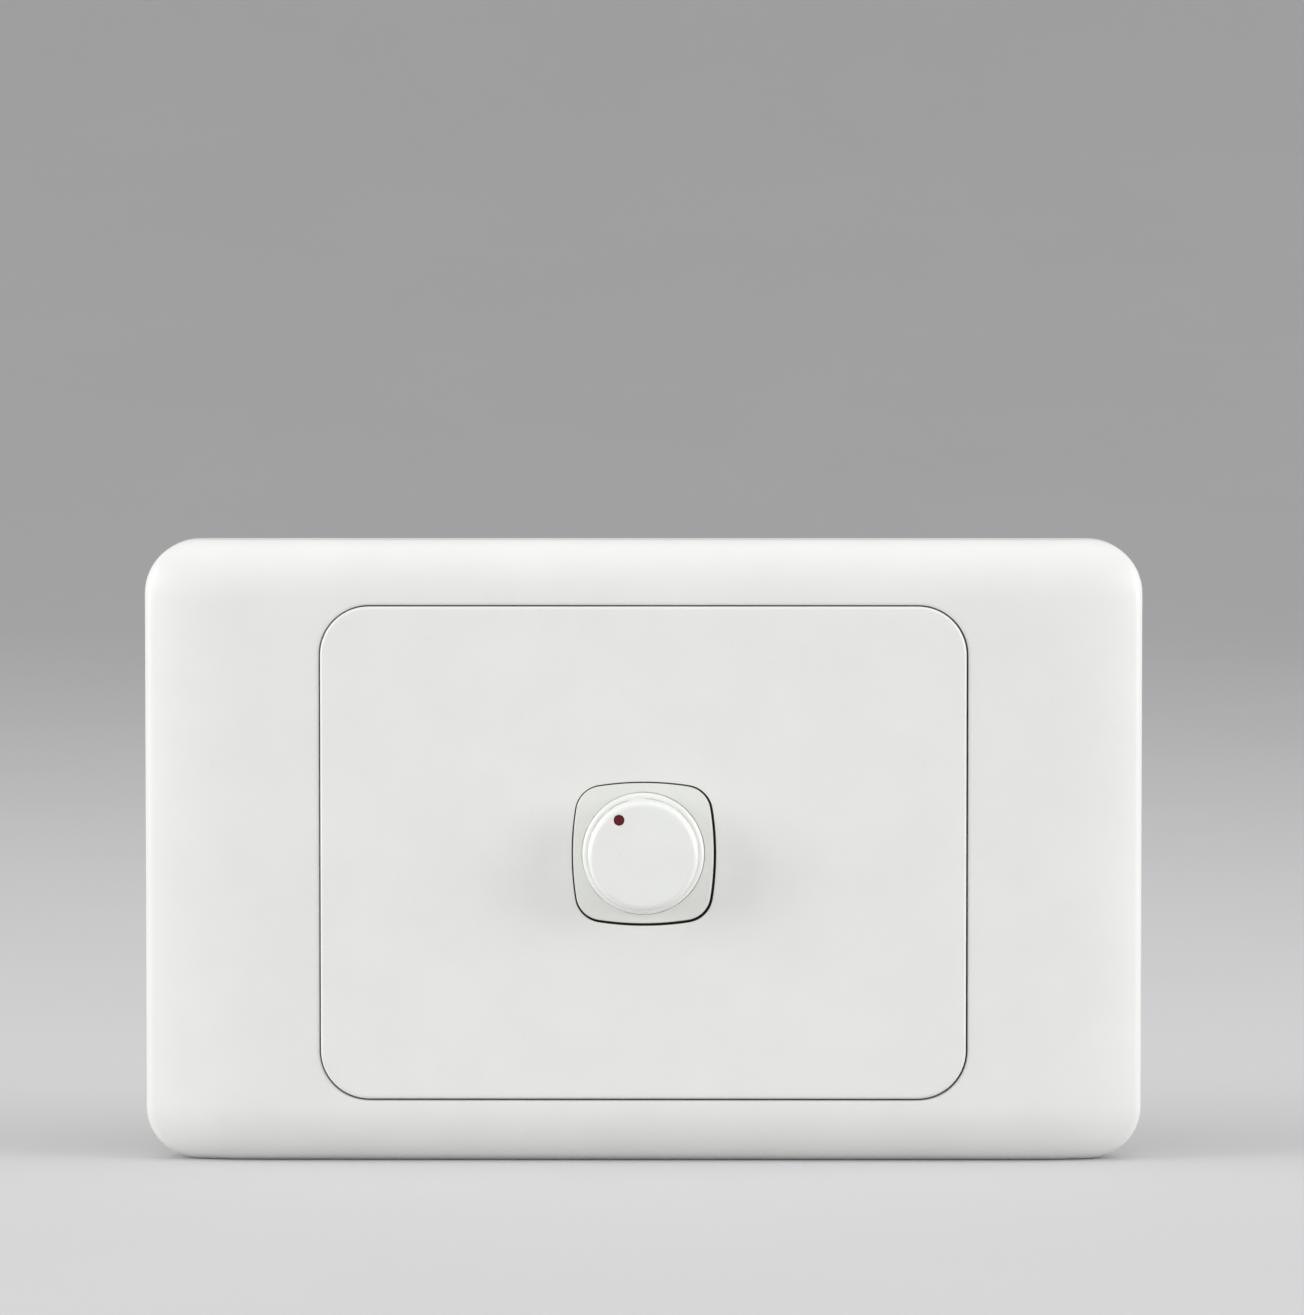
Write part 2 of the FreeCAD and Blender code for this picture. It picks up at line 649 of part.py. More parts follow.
def make_surround():
    """The clip-on cover: a crowned shell with a rounded opening, and pads that sit on the flange."""
    body = crowned_block("surround")
    bevelled(body, d.cover_edge, is_rim)
    core = hollow_core()
    core.Placement = FreeCAD.Placement()
    hollow = body.newObject("PartDesign::Boolean", "hollow")
    hollow.setObjects([core])
    hollow.Type = "Cut"
    opening = level(body, "opening", 0)
    opening_width = panel_width() + d.panel_gap * 2
    opening_height = panel_height() + d.panel_gap * 2
    rounded_rectangle(opening, opening_width, opening_height, d.panel_corner + d.panel_gap)
    take(body, opening, d.cover_face * 2)
    bevelled(body, d.lip_bevel, at_level(d.cover_face, opening_width / 2 + 1e-3))
    seats = level(body, "seats", d.flange_thick)
    inner_height = d.plate_height - d.cover_wall * 2
    for side in (-1, 1):
        for place in (-1, 0, 1):
            y = (inner_height / 2 - d.seat_width / 2) * side
            rectangle(seats, d.seat_length, d.seat_width, d.seat_pitch * place, y)
    add(body, seats, d.seat_height)
    return body


def make_grid_plate():
    """The frame behind the cover: a flange with screw bosses and gussets, and the hollow panel."""
    body = new_body("grid_plate")
    inset = (d.cover_wall + d.flange_margin) * 2
    flange = level(body, "flange", 0)
    corner = d.plate_corner - inset / 2
    rounded_rectangle(flange, d.plate_width - inset, d.plate_height - inset, corner)
    add(body, flange, d.flange_thick)
    panel = level(body, "panel", 0)
    rounded_rectangle(panel, panel_width(), panel_height(), d.panel_corner)
    add(body, panel, d.panel_face)
    bevelled(body, d.panel_round, at_level(d.panel_face))
    bosses = level(body, "bosses", 0)
    for side in (-1, 1):
        circle(bosses, d.boss_radius, fixing_x() * side)
    add(body, bosses, d.boss_height)
    gusset_rows(body)
    hollow = level(body, "hollow", 0)
    inner_width = panel_width() - d.panel_wall * 2
    inner_height = panel_height() - d.panel_wall * 2
    inner_corner = d.panel_corner - d.panel_wall
    rounded_rectangle(hollow, inner_width, inner_height, inner_corner)
    take(body, hollow, panel_back())
    window = level(body, "window", 0)
    bowed_square(window, d.window_half, d.window_bow, d.window_corner)
    take(body, window, d.panel_face * 2)
    holes = level(body, "fixing_holes", 0)
    for side in (-1, 1):
        circle(holes, d.fixing_hole, fixing_x() * side)
    take(body, holes, d.boss_height * 2)
    bevelled(body, d.fixing_sink, circle_at(d.fixing_hole, d.boss_height))
    guides = level(body, "guides", d.guide_low)
    for side in (-1, 1):
        y = (module_height() / 2 + d.guide_gap + d.rib_thick / 2) * side
        rectangle(guides, module_width() - d.guide_clear * 2, d.rib_thick, 0, y)
        x = (module_width() / 2 + d.guide_gap + d.rib_thick / 2) * side
        rectangle(guides, d.rib_thick, module_height(), x, 0)
    add(body, guides, panel_back() - d.guide_low)
    return body


def panel_back():
    """The panel's inner face, which the module's front rests on."""
    return d.panel_face - d.panel_wall


def gusset_rows(body):
    """Three-sided webs that stiffen the panel's long walls against the flange."""
    wall = panel_height() / 2
    reach = d.plate_height / 2 - d.cover_wall - d.flange_margin - d.seat_width
    for side in (-1, 1):
        for place in (-1.5, -0.5, 0.5, 1.5):
            web = sketch_on(body, "YZ_Plane", "gusset", 0, d.rib_pitch * place - d.rib_thick / 2)
            corners = [
                ((wall - d.panel_wall / 2) * side, d.flange_thick / 2),
                (reach * side, d.flange_thick / 2),
                (reach * side, d.flange_thick),
                ((wall - d.panel_wall / 2) * side, d.gusset_top),
            ]
            polygon(web, corners)
            add(body, web, d.rib_thick)


def eased(radius, z, size):
    """A turned outer corner eased by one short cone, as points from the top to the side."""
    return [(radius - size, z), (radius, z - size)]


def circle_at(radius, z):
    """A test for whole circles of that radius at the height z."""

    def chosen(edge):
        if not isinstance(edge.Curve, Part.Circle):
            return False
        return abs(edge.Curve.Radius - float(radius)) < 1e-4 and abs(edge.Curve.Center.z - float(z)) < 1e-4

    return chosen


def make_fixing_screws():
    """Two slotted countersunk machine screws, through the bosses into the wall box."""
    body = new_body("fixing_screws")
    head = d.fixing_hole + d.fixing_sink - d.head_play
    for side in (-1, 1):
        x = fixing_x() * side
        profile = upright(body, "screw_profile", x)
        cone_end = d.boss_height - (head - d.fixing_neck)
        polygon(profile, [
            (0, d.boss_height),
            (head, d.boss_height),
            (d.fixing_neck, cone_end),
            (d.fixing_neck, 0),
            (d.fixing_thread, 0),
            (d.fixing_thread, -d.fixing_reach),
            (0, -d.fixing_reach),
        ])
        turn(body, profile)
    for side in (-1, 1):
        x = fixing_x() * side
        slot = level(body, "slot", d.boss_height)
        rectangle(slot, head * 2, d.slot_across, x)
        take(body, slot, -d.slot_depth)
    return body


def well_floor():
    """The floor of the well in the bezel, which the control's nut pulls against."""
    return d.panel_face - d.well_depth


def make_module_bezel():
    """The module's front moulding: the four-sided face in the window, with the knob's well."""
    body = new_body("module_bezel")
    base = level(body, "base", bezel_back())
    rounded_rectangle(base, module_width(), module_height(), d.module_corner)
    add(body, base, d.bezel_base)
    face = level(body, "face", panel_back())
    half = d.window_half - d.window_gap
    bowed_square(face, half, d.window_bow - d.window_gap, d.window_corner - d.window_gap)
    add(body, face, d.panel_wall)
    bevelled(body, d.bezel_bevel, at_level(d.panel_face))
    well = level(body, "well", well_floor())
    circle(well, d.knob_skirt + d.well_gap)
    take(body, well, d.well_depth * 2)
    bore = level(body, "bore", 0)
    circle(bore, d.bushing_radius + d.bushing_play)
    take(body, bore, d.panel_face)
    posts = level(body, "posts", bezel_back())
    for side in (-1, 1):
        rectangle(posts, d.post_width, d.post_width, post_x() * side, post_y() * side)
    add(body, posts, -d.post_reach)
    pilots = level(body, "pilots", bezel_back() - d.post_reach)
    for side in (-1, 1):
        circle(pilots, d.case_screw, post_x() * side, post_y() * side)
    take(body, pilots, d.screw_bite + d.screw_spare)
    spigot = level(body, "spigot", bezel_back())
    inner_width = module_width() - d.case_wall * 2 - d.spigot_gap * 2
    inner_height = module_height() - d.case_wall * 2 - d.spigot_gap * 2
    rectangle(spigot, inner_width, inner_height)
    rectangle(spigot, inner_width - d.spigot_wall * 2, inner_height - d.spigot_wall * 2)
    add(body, spigot, -d.spigot_reach)
    return body


def bezel_back():
    """The back of the front moulding's base, where the case begins."""
    return panel_back() - d.bezel_base


def case_floor():
    """The inside of the case's rear wall."""
    return -d.module_rear + d.case_wall


def make_module_case():
    """The deep box behind the panel, with its wire entries, screw wells and driver holes."""
    body = new_body("module_case")
    block = level(body, "block", -d.module_rear)
    rounded_rectangle(block, module_width(), module_height(), d.module_corner)
    add(body, block, d.module_rear + bezel_back())
    bevelled(body, d.case_round, at_level(-d.module_rear))
    hollow = level(body, "hollow", case_floor())
    inner_width = module_width() - d.case_wall * 2
    inner_height = module_height() - d.case_wall * 2
    rectangle(hollow, inner_width, inner_height)
    take(body, hollow, d.module_rear * 2)
    columns = level(body, "columns", case_floor())
    for side in (-1, 1):
        rectangle(columns, d.post_width, d.post_width, post_x() * side, post_y() * side)
    add(body, columns, bezel_back() - d.post_reach - case_floor())
    supports = level(body, "supports", case_floor())
    for side in (-1, 1):
        rectangle(supports, d.post_width, d.post_width, post_x() * side, -post_y() * side)
    add(body, supports, board_rear() - case_floor())
    passages = level(body, "screw_passages", -d.module_rear)
    for side in (-1, 1):
        circle(passages, d.case_screw + d.running_gap, post_x() * side, post_y() * side)
    take(body, passages, d.module_rear)
    entries = level(body, "wire_entries", -d.module_rear)
    for place in (-1, 0, 1):
        circle(entries, d.entry_radius, d.terminal_pitch * place, -terminal_drop())
    take(body, entries, d.case_wall)
    doc.recompute()
    drivers = sketch_on(body, "XZ_Plane", "driver_holes", 0, module_height() / 2)
    for place in (-1, 0, 1):
        x = d.terminal_pitch * place
        rectangle(drivers, d.driver_hole, d.driver_hole, x, terminal_mouth() + d.terminal_depth / 2)
    take(body, drivers, -d.case_wall * 2)
    vents = sketch_on(body, "XZ_Plane", "vents", 0, -module_height() / 2)
    for place in (-2, -1, 0, 1, 2):
        rectangle(vents, d.vent_width, d.vent_length, d.vent_pitch * place, d.vent_place)
    take(body, vents, d.vent_depth)
    return body


def terminal_drop():
    """The terminals' middle line, below the centre line."""
    return module_height() / 2 - d.case_wall - d.terminal_clear - d.terminal_height / 2


def terminal_mouth():
    """The rear face of the terminals, against the case's rear wall."""
    return case_floor()


def knob_face():
    return d.panel_face + d.knob_height


def bushing_top():
    return well_floor() + d.bushing_rise


def hub_low():
    """The hub stays clear of the bushing when the knob is pressed."""
    return bushing_top() + d.push_travel + d.running_gap * 2


def shaft_top():
    return knob_face() - d.knob_top - d.running_gap


def make_knob():
    """A turned cap with a skirt that sinks into the well, hollow round the nut, with a flatted hub."""
    body = new_body("knob")
    bore = d.shaft_radius + d.seat_play
    low = d.panel_face - d.skirt_sunk
    shelf = d.panel_face + d.skirt_height
    ceiling = knob_face() - d.knob_top
    profile = upright(body, "knob_profile")
    polygon(profile, [
        (0, knob_face()),
        *eased(d.knob_cap, knob_face(), d.knob_round),
        (d.knob_cap, shelf),
        *eased(d.knob_skirt, shelf, d.skirt_round),
        (d.knob_skirt, low),
        (d.knob_hollow, low),
        (d.knob_hollow, ceiling),
        (d.knob_hub, ceiling),
        (d.knob_hub, hub_low()),
        (bore, hub_low()),
        (bore, ceiling),
        (0, ceiling),
    ])
    turn(body, profile)
    key = level(body, "key", hub_low())
    flat = d.shaft_radius - d.shaft_flat + d.seat_play
    rectangle(key, d.shaft_radius, d.shaft_flat, 0, flat + d.shaft_flat / 2)
    add(body, key, ceiling - hub_low())
    seat = level(body, "dot_seat", knob_face())
    circle(seat, d.dot_radius, *dot_center())
    take(body, seat, -d.dot_depth)
    return body


def dot_center():
    """The dot lies anticlockwise from the top by dot_angle."""
    return (-d.dot_place * sine(d.dot_angle), d.dot_place * cosine(d.dot_angle))


def make_indicator_dot():
    """The round coloured insert in the knob's face."""
    body = new_body("indicator_dot")
    disc = level(body, "disc", knob_face() - d.dot_depth)
    circle(disc, d.dot_radius, *dot_center())
    add(body, disc, d.dot_depth)
    return body


def make_knob_clip():
    """The spring band round the knob's hub, open on one side."""
    body = new_body("knob_clip")
    band = level(body, "band", hub_low() + d.running_gap)
    circle(band, d.knob_hub)
    circle(band, d.knob_hub + d.clip_thick)
    add(body, band, d.clip_width)
    gap = level(body, "gap", hub_low())
    rectangle(gap, d.knob_hub * 2, d.clip_width, -d.knob_hub, 0)
    take(body, gap, d.clip_width * 2)
    return body


def make_pot_shaft():
    """The control shaft, with one flat for the knob and one for the rotor it slides through."""
    body = new_body("pot_shaft")
    rod = level(body, "rod", shaft_end())
    circle(rod, d.shaft_radius)
    add(body, rod, shaft_top() - shaft_end())
    bevelled(body, d.shaft_bevel, at_level(shaft_end()))
    knob_flat = level(body, "knob_flat", hub_low() - d.push_travel / 2)
    rectangle(knob_flat, d.shaft_radius * 2, d.shaft_flat * 2, 0, d.shaft_radius)
    take(body, knob_flat, d.shaft_radius * 4)
    rotor_flat = level(body, "rotor_flat", shaft_end())
    rectangle(rotor_flat, d.shaft_radius * 2, d.shaft_flat * 2, 0, d.shaft_radius)
    take(body, rotor_flat, rotor_top() + d.push_travel + d.running_gap - shaft_end())
    return body


def can_rear():
    return bezel_back() - d.can_depth


def wafer_rear():
    return can_rear() - d.wafer_thick


def switch_rear():
    return wafer_rear() - d.switch_depth


def board_rear():
    return switch_rear() - d.board_thick


def shaft_end():
    """The shaft's inner end stands a little into the switch."""
    return wafer_rear() - d.shaft_poke


def flange_under():
    """The underside of the bushing's flange, inside the can."""
    return bezel_back() - d.can_wall * 2


def rotor_radius():
    return d.can_width / 2 - d.can_wall - d.rotor_clear


def brush_radius():
    return rotor_radius() - d.brush_inset


def rotor_low():
    return can_rear() + d.brush_rise


def rotor_top():
    return flange_under() - d.running_gap


def make_pot_bushing():
    """The threaded bushing, with the square flange that the can is pressed round."""
    body = new_body("pot_bushing")
    under = bezel_back() - d.can_wall
    barrel = level(body, "barrel", flange_under())
    circle(barrel, d.bushing_radius)
    add(body, barrel, bushing_top() - flange_under())
    flange = level(body, "flange", flange_under())
    rectangle(flange, d.bushing_foot, d.bushing_foot)
    add(body, flange, under - flange_under())
    bore = level(body, "bore", flange_under())
    circle(bore, d.shaft_radius + d.shaft_play)
    take(body, bore, bushing_top() - flange_under())
    return body


def make_pot_washer():
    body = new_body("pot_washer")
    ring = level(body, "ring", well_floor())
    circle(ring, d.washer_radius)
    circle(ring, d.bushing_radius + d.bushing_play)
    add(body, ring, d.washer_thick)
    return body


def make_pot_nut():
    """The six-sided nut in the well, under the knob."""
    body = new_body("pot_nut")
    outline = level(body, "outline", well_floor() + d.washer_thick)
    corner = d.nut_flats / math.sqrt(3)
    corners = []
    for i in range(6):
        angle = math.radians(60 * i)
        corners.append((corner * math.cos(angle), corner * math.sin(angle)))
    polygon(outline, corners)
    circle(outline, d.bushing_radius + d.seat_play)
    add(body, outline, d.nut_thick)
    return body


def make_pot_can():
    """The square metal can of the control, open at the back."""
    body = new_body("pot_can")
    block = level(body, "block", can_rear())
    rectangle(block, d.can_width, d.can_width)
    add(body, block, d.can_depth)
    hollow = level(body, "hollow", can_rear())
    inner = d.can_width - d.can_wall * 2
    rectangle(hollow, inner, inner)
    take(body, hollow, d.can_depth - d.can_wall)
    hole = level(body, "hole", can_rear())
    circle(hole, d.bushing_radius + d.seat_play)
    take(body, hole, d.can_depth)
    return body


def tab_reach():
    """The end of the wafer's tab, from the axis."""
    return module_height() / 2 - d.case_wall - d.tab_clear


def make_track_wafer():
    """The wafer that closes the can and carries the track, with a tab for the pins."""
    body = new_body("track_wafer")
    plate = level(body, "plate", wafer_rear())
    rectangle(plate, d.can_width, d.can_width)
    add(body, plate, d.wafer_thick)
    tab = level(body, "tab", wafer_rear())
    rectangle(tab, d.tab_width, tab_reach(), 0, -tab_reach() / 2)
    add(body, tab, d.wafer_thick)
    hole = level(body, "hole", wafer_rear())
    circle(hole, d.shaft_radius + d.wafer_play)
    take(body, hole, d.wafer_thick)
    return body


def make_pot_terminals():
    """Three pins from the wafer's tab to the board."""
    body = new_body("pot_terminals")
    pins = level(body, "pins", switch_rear())
    for place in (-1, 0, 1):
        rectangle(pins, d.pin_width, d.pin_width / 2, d.pin_pitch * place, d.pin_inset - tab_reach())
    add(body, pins, wafer_rear() - switch_rear())
    return body


def make_wiper_rotor():
    """The moulded rotor: a drum with a flatted hole for the sliding shaft."""
    body = new_body("wiper_rotor")
    drum = level(body, "drum", rotor_low())
    circle(drum, rotor_radius())
    add(body, drum, rotor_top() - rotor_low())
    bore = level(body, "bore", rotor_low())
    circle(bore, d.shaft_radius + d.shaft_play)
    take(body, bore, rotor_top() - rotor_low())
    key = level(body, "key", rotor_low())
    flat = d.shaft_radius - d.shaft_flat + d.shaft_play
    rectangle(key, d.shaft_radius, d.shaft_flat, 0, flat + d.shaft_flat / 2)
    add(body, key, rotor_top() - rotor_low())
    return body


def make_wiper_brush():
    """The spring strip under the rotor, with a finger at each end that runs on the track."""
    body = new_body("wiper_brush")
    strip = level(body, "strip", rotor_low() - d.brush_thick)
    rectangle(strip, d.brush_width, brush_radius() * 2 + d.finger_width)
    add(body, strip, d.brush_thick)
    hole = level(body, "hole", rotor_low() - d.brush_thick)
    circle(hole, d.shaft_radius + d.wafer_play)
    take(body, hole, d.brush_thick)
    fingers = level(body, "fingers", can_rear() + d.running_gap)
    for side in (-1, 1):
        rectangle(fingers, d.finger_width, d.finger_width / 2, 0, brush_radius() * side)
    add(body, fingers, rotor_low() - d.brush_thick - can_rear() - d.running_gap)
    return body


def switch_floor():
    return switch_rear() + d.switch_wall


def plunger_top():
    return shaft_end() - d.running_gap / 2


def strip_low():
    """The underside of the moving contact, on the plunger's flange."""
    return plunger_top() - d.plunger_nose


def contact_face():
    """The fixed contacts' faces: the strip just reaches them when the knob is pressed."""
    return strip_low() - d.push_travel - d.contact_gap


def make_switch_case():
    """The square case of the push switch, open towards the shaft."""
    body = new_body("switch_case")
    block = level(body, "block", switch_rear())
    rectangle(block, d.switch_width, d.switch_width)
    add(body, block, d.switch_depth)
    hollow = level(body, "hollow", switch_floor())
    inner = d.switch_width - d.switch_wall * 2
    rectangle(hollow, inner, inner)
    take(body, hollow, d.switch_depth)
    slots = level(body, "slots", switch_rear())
    for side in (-1, 1):
        x = (d.contact_reach - d.contact_thick / 2) * side
        rectangle(slots, d.contact_thick, d.contact_width, x, 0)
    take(body, slots, d.switch_wall)
    return body


def make_fixed_contacts():
    """Two angled contacts in the floor of the switch, with legs down to the board."""
    body = new_body("fixed_contacts")
    inner = d.contact_reach - d.contact_pad
    for side in (-1, 1):
        leg = sketch_on(body, "XZ_Plane", "leg", 0, -d.contact_width / 2)
        polygon(leg, [
            (inner * side, contact_face()),
            (d.contact_reach * side, contact_face()),
            (d.contact_reach * side, switch_rear()),
            ((d.contact_reach - d.contact_thick) * side, switch_rear()),
            ((d.contact_reach - d.contact_thick) * side, contact_face() - d.contact_thick),
            (inner * side, contact_face() - d.contact_thick),
        ])
        add(body, leg, d.contact_width)
    return body


def make_switch_plunger():
    """The plunger that the shaft presses, with the square flange that carries the moving contact."""
    body = new_body("switch_plunger")
    rod = level(body, "rod", plunger_top())
    circle(rod, d.plunger_radius)
    add(body, rod, -d.plunger_length)
    flange = level(body, "flange", strip_low())
    rectangle(flange, d.plunger_flange, d.plunger_flange)
    add(body, flange, -d.flange_web)
    return body


def make_moving_contact():
    """The bridge strip: a square round the plunger with an arm on each side."""
    body = new_body("moving_contact")
    strip = level(body, "strip", strip_low())
    rectangle(strip, d.contact_reach * 2, d.contact_width)
    middle = level(body, "middle", strip_low())
    rectangle(middle, d.plunger_flange, d.plunger_flange)
    add(body, strip, d.contact_thick)
    add(body, middle, d.contact_thick)
    hole = level(body, "hole", strip_low())
    circle(hole, d.plunger_radius + d.seat_play)
    take(body, hole, d.contact_thick)
    return body


def coil_facets(radius, wire, low, high, turns):
    """Flat facets of a coil of six-sided wire, in straight runs, ten to a turn."""
    runs = max(10, round(turns * 10))
    rings = []
    for i in range(runs + 1):
        angle = 2 * math.pi * turns * i / runs
        out = FreeCAD.Vector(math.cos(angle), math.sin(angle), 0)
        middle = out * radius + FreeCAD.Vector(0, 0, low + (high - low) * i / runs)
        ring = []
        for side in range(6):
            around = math.radians(60 * side)
            rise = FreeCAD.Vector(0, 0, wire * math.sin(around))
            ring.append(middle + out * (wire * math.cos(around)) + rise)
        rings.append(ring)
    facets = []
    for near, far in zip(rings, rings[1:]):
        for side in range(6):
            follower = (side + 1) % 6
            facets.append((near[side], near[follower], far[follower]))
            facets.append((near[side], far[follower], far[side]))
    facets.append(tuple(reversed(rings[0])))
    facets.append(tuple(rings[-1]))
    return facets


def make_return_spring():
    """A coil of round wire between the switch's floor and the plunger's flange."""
    low = switch_floor() + d.spring_wire + d.seat_play
    high = strip_low() - d.flange_web - d.spring_wire - d.seat_play
    sizes = [float(size) for size in (d.spring_radius, d.spring_wire, low, high, d.spring_turns)]
    faces = []
    for facet in coil_facets(*sizes):
        faces.append(Part.Face(Part.makePolygon([*facet, facet[0]])))
    coil = Part.makeSolid(Part.makeShell(faces))
    if coil.Volume < 0:
        coil.reverse()
    spring = doc.addObject("Part::Feature", "return_spring")
    spring.Label = "return_spring"
    spring.Shape = coil
    spring.Placement = FRONT
    return spring


def board_width():
    return module_width() - d.case_wall * 2 - d.board_play * 2


def board_height():
    return module_height() - d.case_wall * 2 - d.board_play * 2


def make_circuit_board():
    """The board behind the switch, notched round the two screw posts."""
    body = new_body("circuit_board")
    board = level(body, "board", board_rear())
    rectangle(board, board_width(), board_height())
    add(body, board, d.board_thick)
    notches = level(body, "notches", board_rear())
    width = board_width() / 2 - post_x() + d.post_width / 2 + d.board_gap
    height = board_height() / 2 - post_y() + d.post_width / 2 + d.board_gap
    for side in (-1, 1):
        x = (board_width() - width) / 2 * side
        y = (board_height() - height) / 2 * side
        rectangle(notches, width, height, x, y)
    take(body, notches, d.board_thick)
    return body


def sink_face():
    """The heat sink's inner face, which the power switch lies on."""
    return module_height() / 2 - d.case_wall - d.sink_thick


def sink_reach():
    """Half the heat sink's length: it ends clear of the screw posts."""
    return post_x() - d.post_width / 2 - d.sink_clear


def make_heat_sink():
    """A bent aluminium strip along the case's long wall, with its foot on the board."""
    body = new_body("heat_sink")
    bend = sketch_on(body, "YZ_Plane", "bend", 0, -sink_reach())
    outer = module_height() / 2 - d.case_wall
    polygon(bend, [
        (outer, board_rear()),
        (outer, board_rear() - d.sink_depth),
        (sink_face(), board_rear() - d.sink_depth),
        (sink_face(), board_rear() - d.sink_thick),
        (outer - d.sink_foot, board_rear() - d.sink_thick),
        (outer - d.sink_foot, board_rear()),
    ])
    add(body, bend, sink_reach() * 2)
    hole = sketch_on(body, "XZ_Plane", "tie_hole", 0, -outer)
    circle(hole, d.tie_screw, d.triac_place, tie_height())
    take(body, hole, d.sink_thick)
    return body


def tie_height():
    """The screw through the power switch's tab lies near the free edge of the heat sink."""
    return board_rear() - d.sink_depth + d.tie_inset


def triac_rear():
    return board_rear() - d.sink_thick - d.running_gap


def make_triac():
    """The power switch: a moulded block on a metal tab, with three legs."""
    body = new_body("triac")
    block = sketch_on(body, "YZ_Plane", "block", 0, d.triac_place - d.triac_width / 2)
    deep = triac_rear() - d.triac_length
    polygon(block, [
        (sink_face(), triac_rear()),
        (sink_face(), deep),
        (sink_face() - d.triac_tab, deep),
        (sink_face() - d.triac_tab, tie_height() + d.triac_bare),
        (sink_face() - d.triac_thick, tie_height() + d.triac_bare),
        (sink_face() - d.triac_thick, triac_rear()),
    ])
    add(body, block, d.triac_width)
    legs = level(body, "legs", board_rear())
    for place in (-1, 0, 1):
        x = d.triac_place + d.triac_pitch * place
        rectangle(legs, d.lead_width, d.lead_width, x, sink_face() - d.triac_thick + d.lead_width / 2)
    add(body, legs, triac_rear() - board_rear())
    hole = sketch_on(body, "XZ_Plane", "tab_hole", 0, -sink_face())
    circle(hole, d.tie_screw, d.triac_place, tie_height())
    take(body, hole, d.triac_tab)
    return body


def make_triac_screw():
    """The screw that holds the power switch to the heat sink."""
    body = new_body("triac_screw")
    shank = sketch_on(body, "XZ_Plane", "shank", 0, -sink_face() - d.sink_thick)
    circle(shank, d.tie_screw, d.triac_place, tie_height())
    add(body, shank, d.sink_thick + d.triac_tab)
    head = sketch_on(body, "XZ_Plane", "head", 0, d.triac_tab - sink_face())
    circle(head, d.tie_head, d.triac_place, tie_height())
    add(body, head, d.tie_cap)
    return body


def choke_top():
    """The choke's upper end, just below the heat sink's foot."""
    return module_height() / 2 - d.case_wall - d.sink_foot - d.running_gap


def choke_length():
    """The choke fills the room between the heat sink's foot and the terminals."""
    return choke_top() + terminal_drop() - d.terminal_height / 2 - d.running_gap


def choke_y():
    return choke_top() - choke_length() / 2


def lying_rod(body, name, radius, length):
    """A round outline lying along y beside the board's rear face, at the choke's place."""
    sketch = sketch_on(body, "XZ_Plane", name, 0, -(choke_y() + length / 2))
    circle(sketch, radius, d.choke_x, board_rear() - d.choke_outer)
    return sketch


def make_choke_core():
    """The iron rod of the choke, lying along the board."""
    body = new_body("choke_core")
    add(body, lying_rod(body, "rod", d.choke_inner, choke_length()), choke_length())
    return body


def make_choke_winding():
    """The choke's winding, as one closed wrap round the iron rod."""
    body = new_body("choke_winding")
    length = choke_length() - d.choke_bare * 2
    wrap = lying_rod(body, "wrap", d.choke_outer, length)
    circle(wrap, d.choke_inner + d.seat_play, d.choke_x, board_rear() - d.choke_outer)
    add(body, wrap, length)
    return body


def film_x():
    return board_width() / 2 - d.film_inset


def timing_x():
    return d.timing_inset - board_width() / 2


def make_film_capacitor():
    """The suppression capacitor, a boxed block on the front of the board."""
    body = new_body("film_capacitor")
    block = level(body, "block", switch_rear())
    rectangle(block, d.film_width, d.film_length, film_x(), 0)
    add(body, block, d.film_tall)
    return body


def make_timing_capacitor():
    """The timing capacitor, a small block standing on the board."""
    body = new_body("timing_capacitor")
    block = level(body, "block", switch_rear())
    rectangle(block, d.timing_width, d.timing_length, timing_x(), d.timing_place)
    add(body, block, d.timing_tall)
    return body


def lying_part(body, name, radius, length, x, y):
    """A small round part lying along y above the board, with a square lead down at each end."""
    height = switch_rear() + radius + d.lead_width
    barrel = sketch_on(body, "XZ_Plane", name + "_barrel", 0, -(sized(y) + length / 2))
    circle(barrel, radius, x, height)
    add(body, barrel, length)
    legs = level(body, name + "_legs", switch_rear())
    for side in (-1, 1):
        rectangle(legs, d.lead_width, d.lead_width, x, sized(y) + (length + d.lead_width) / 2 * side)
    add(body, legs, height + d.lead_width / 2 - switch_rear())


def make_fuse():
    """The cartridge fuse on the front of the board."""
    body = new_body("fuse")
    lying_part(body, "fuse", d.fuse_radius, d.fuse_length, d.fuse_inset - board_width() / 2, 0)
    return body


def make_diac():
    """The small trigger diode."""
    body = new_body("diac")
    y = d.diac_length / 2
    lying_part(body, "diac", d.diac_radius, d.diac_length, film_x() + d.film_width, y)
    return body


def make_resistors():
    """Two resistors side by side along the edge of the board."""
    body = new_body("resistors")
    x = film_x() + d.film_width
    lying_part(body, "lower", d.resistor_radius, d.resistor_length, x, -d.resistor_length)
    lying_part(body, "upper", d.resistor_radius, d.resistor_length, timing_x(), -d.resistor_place)
    return body


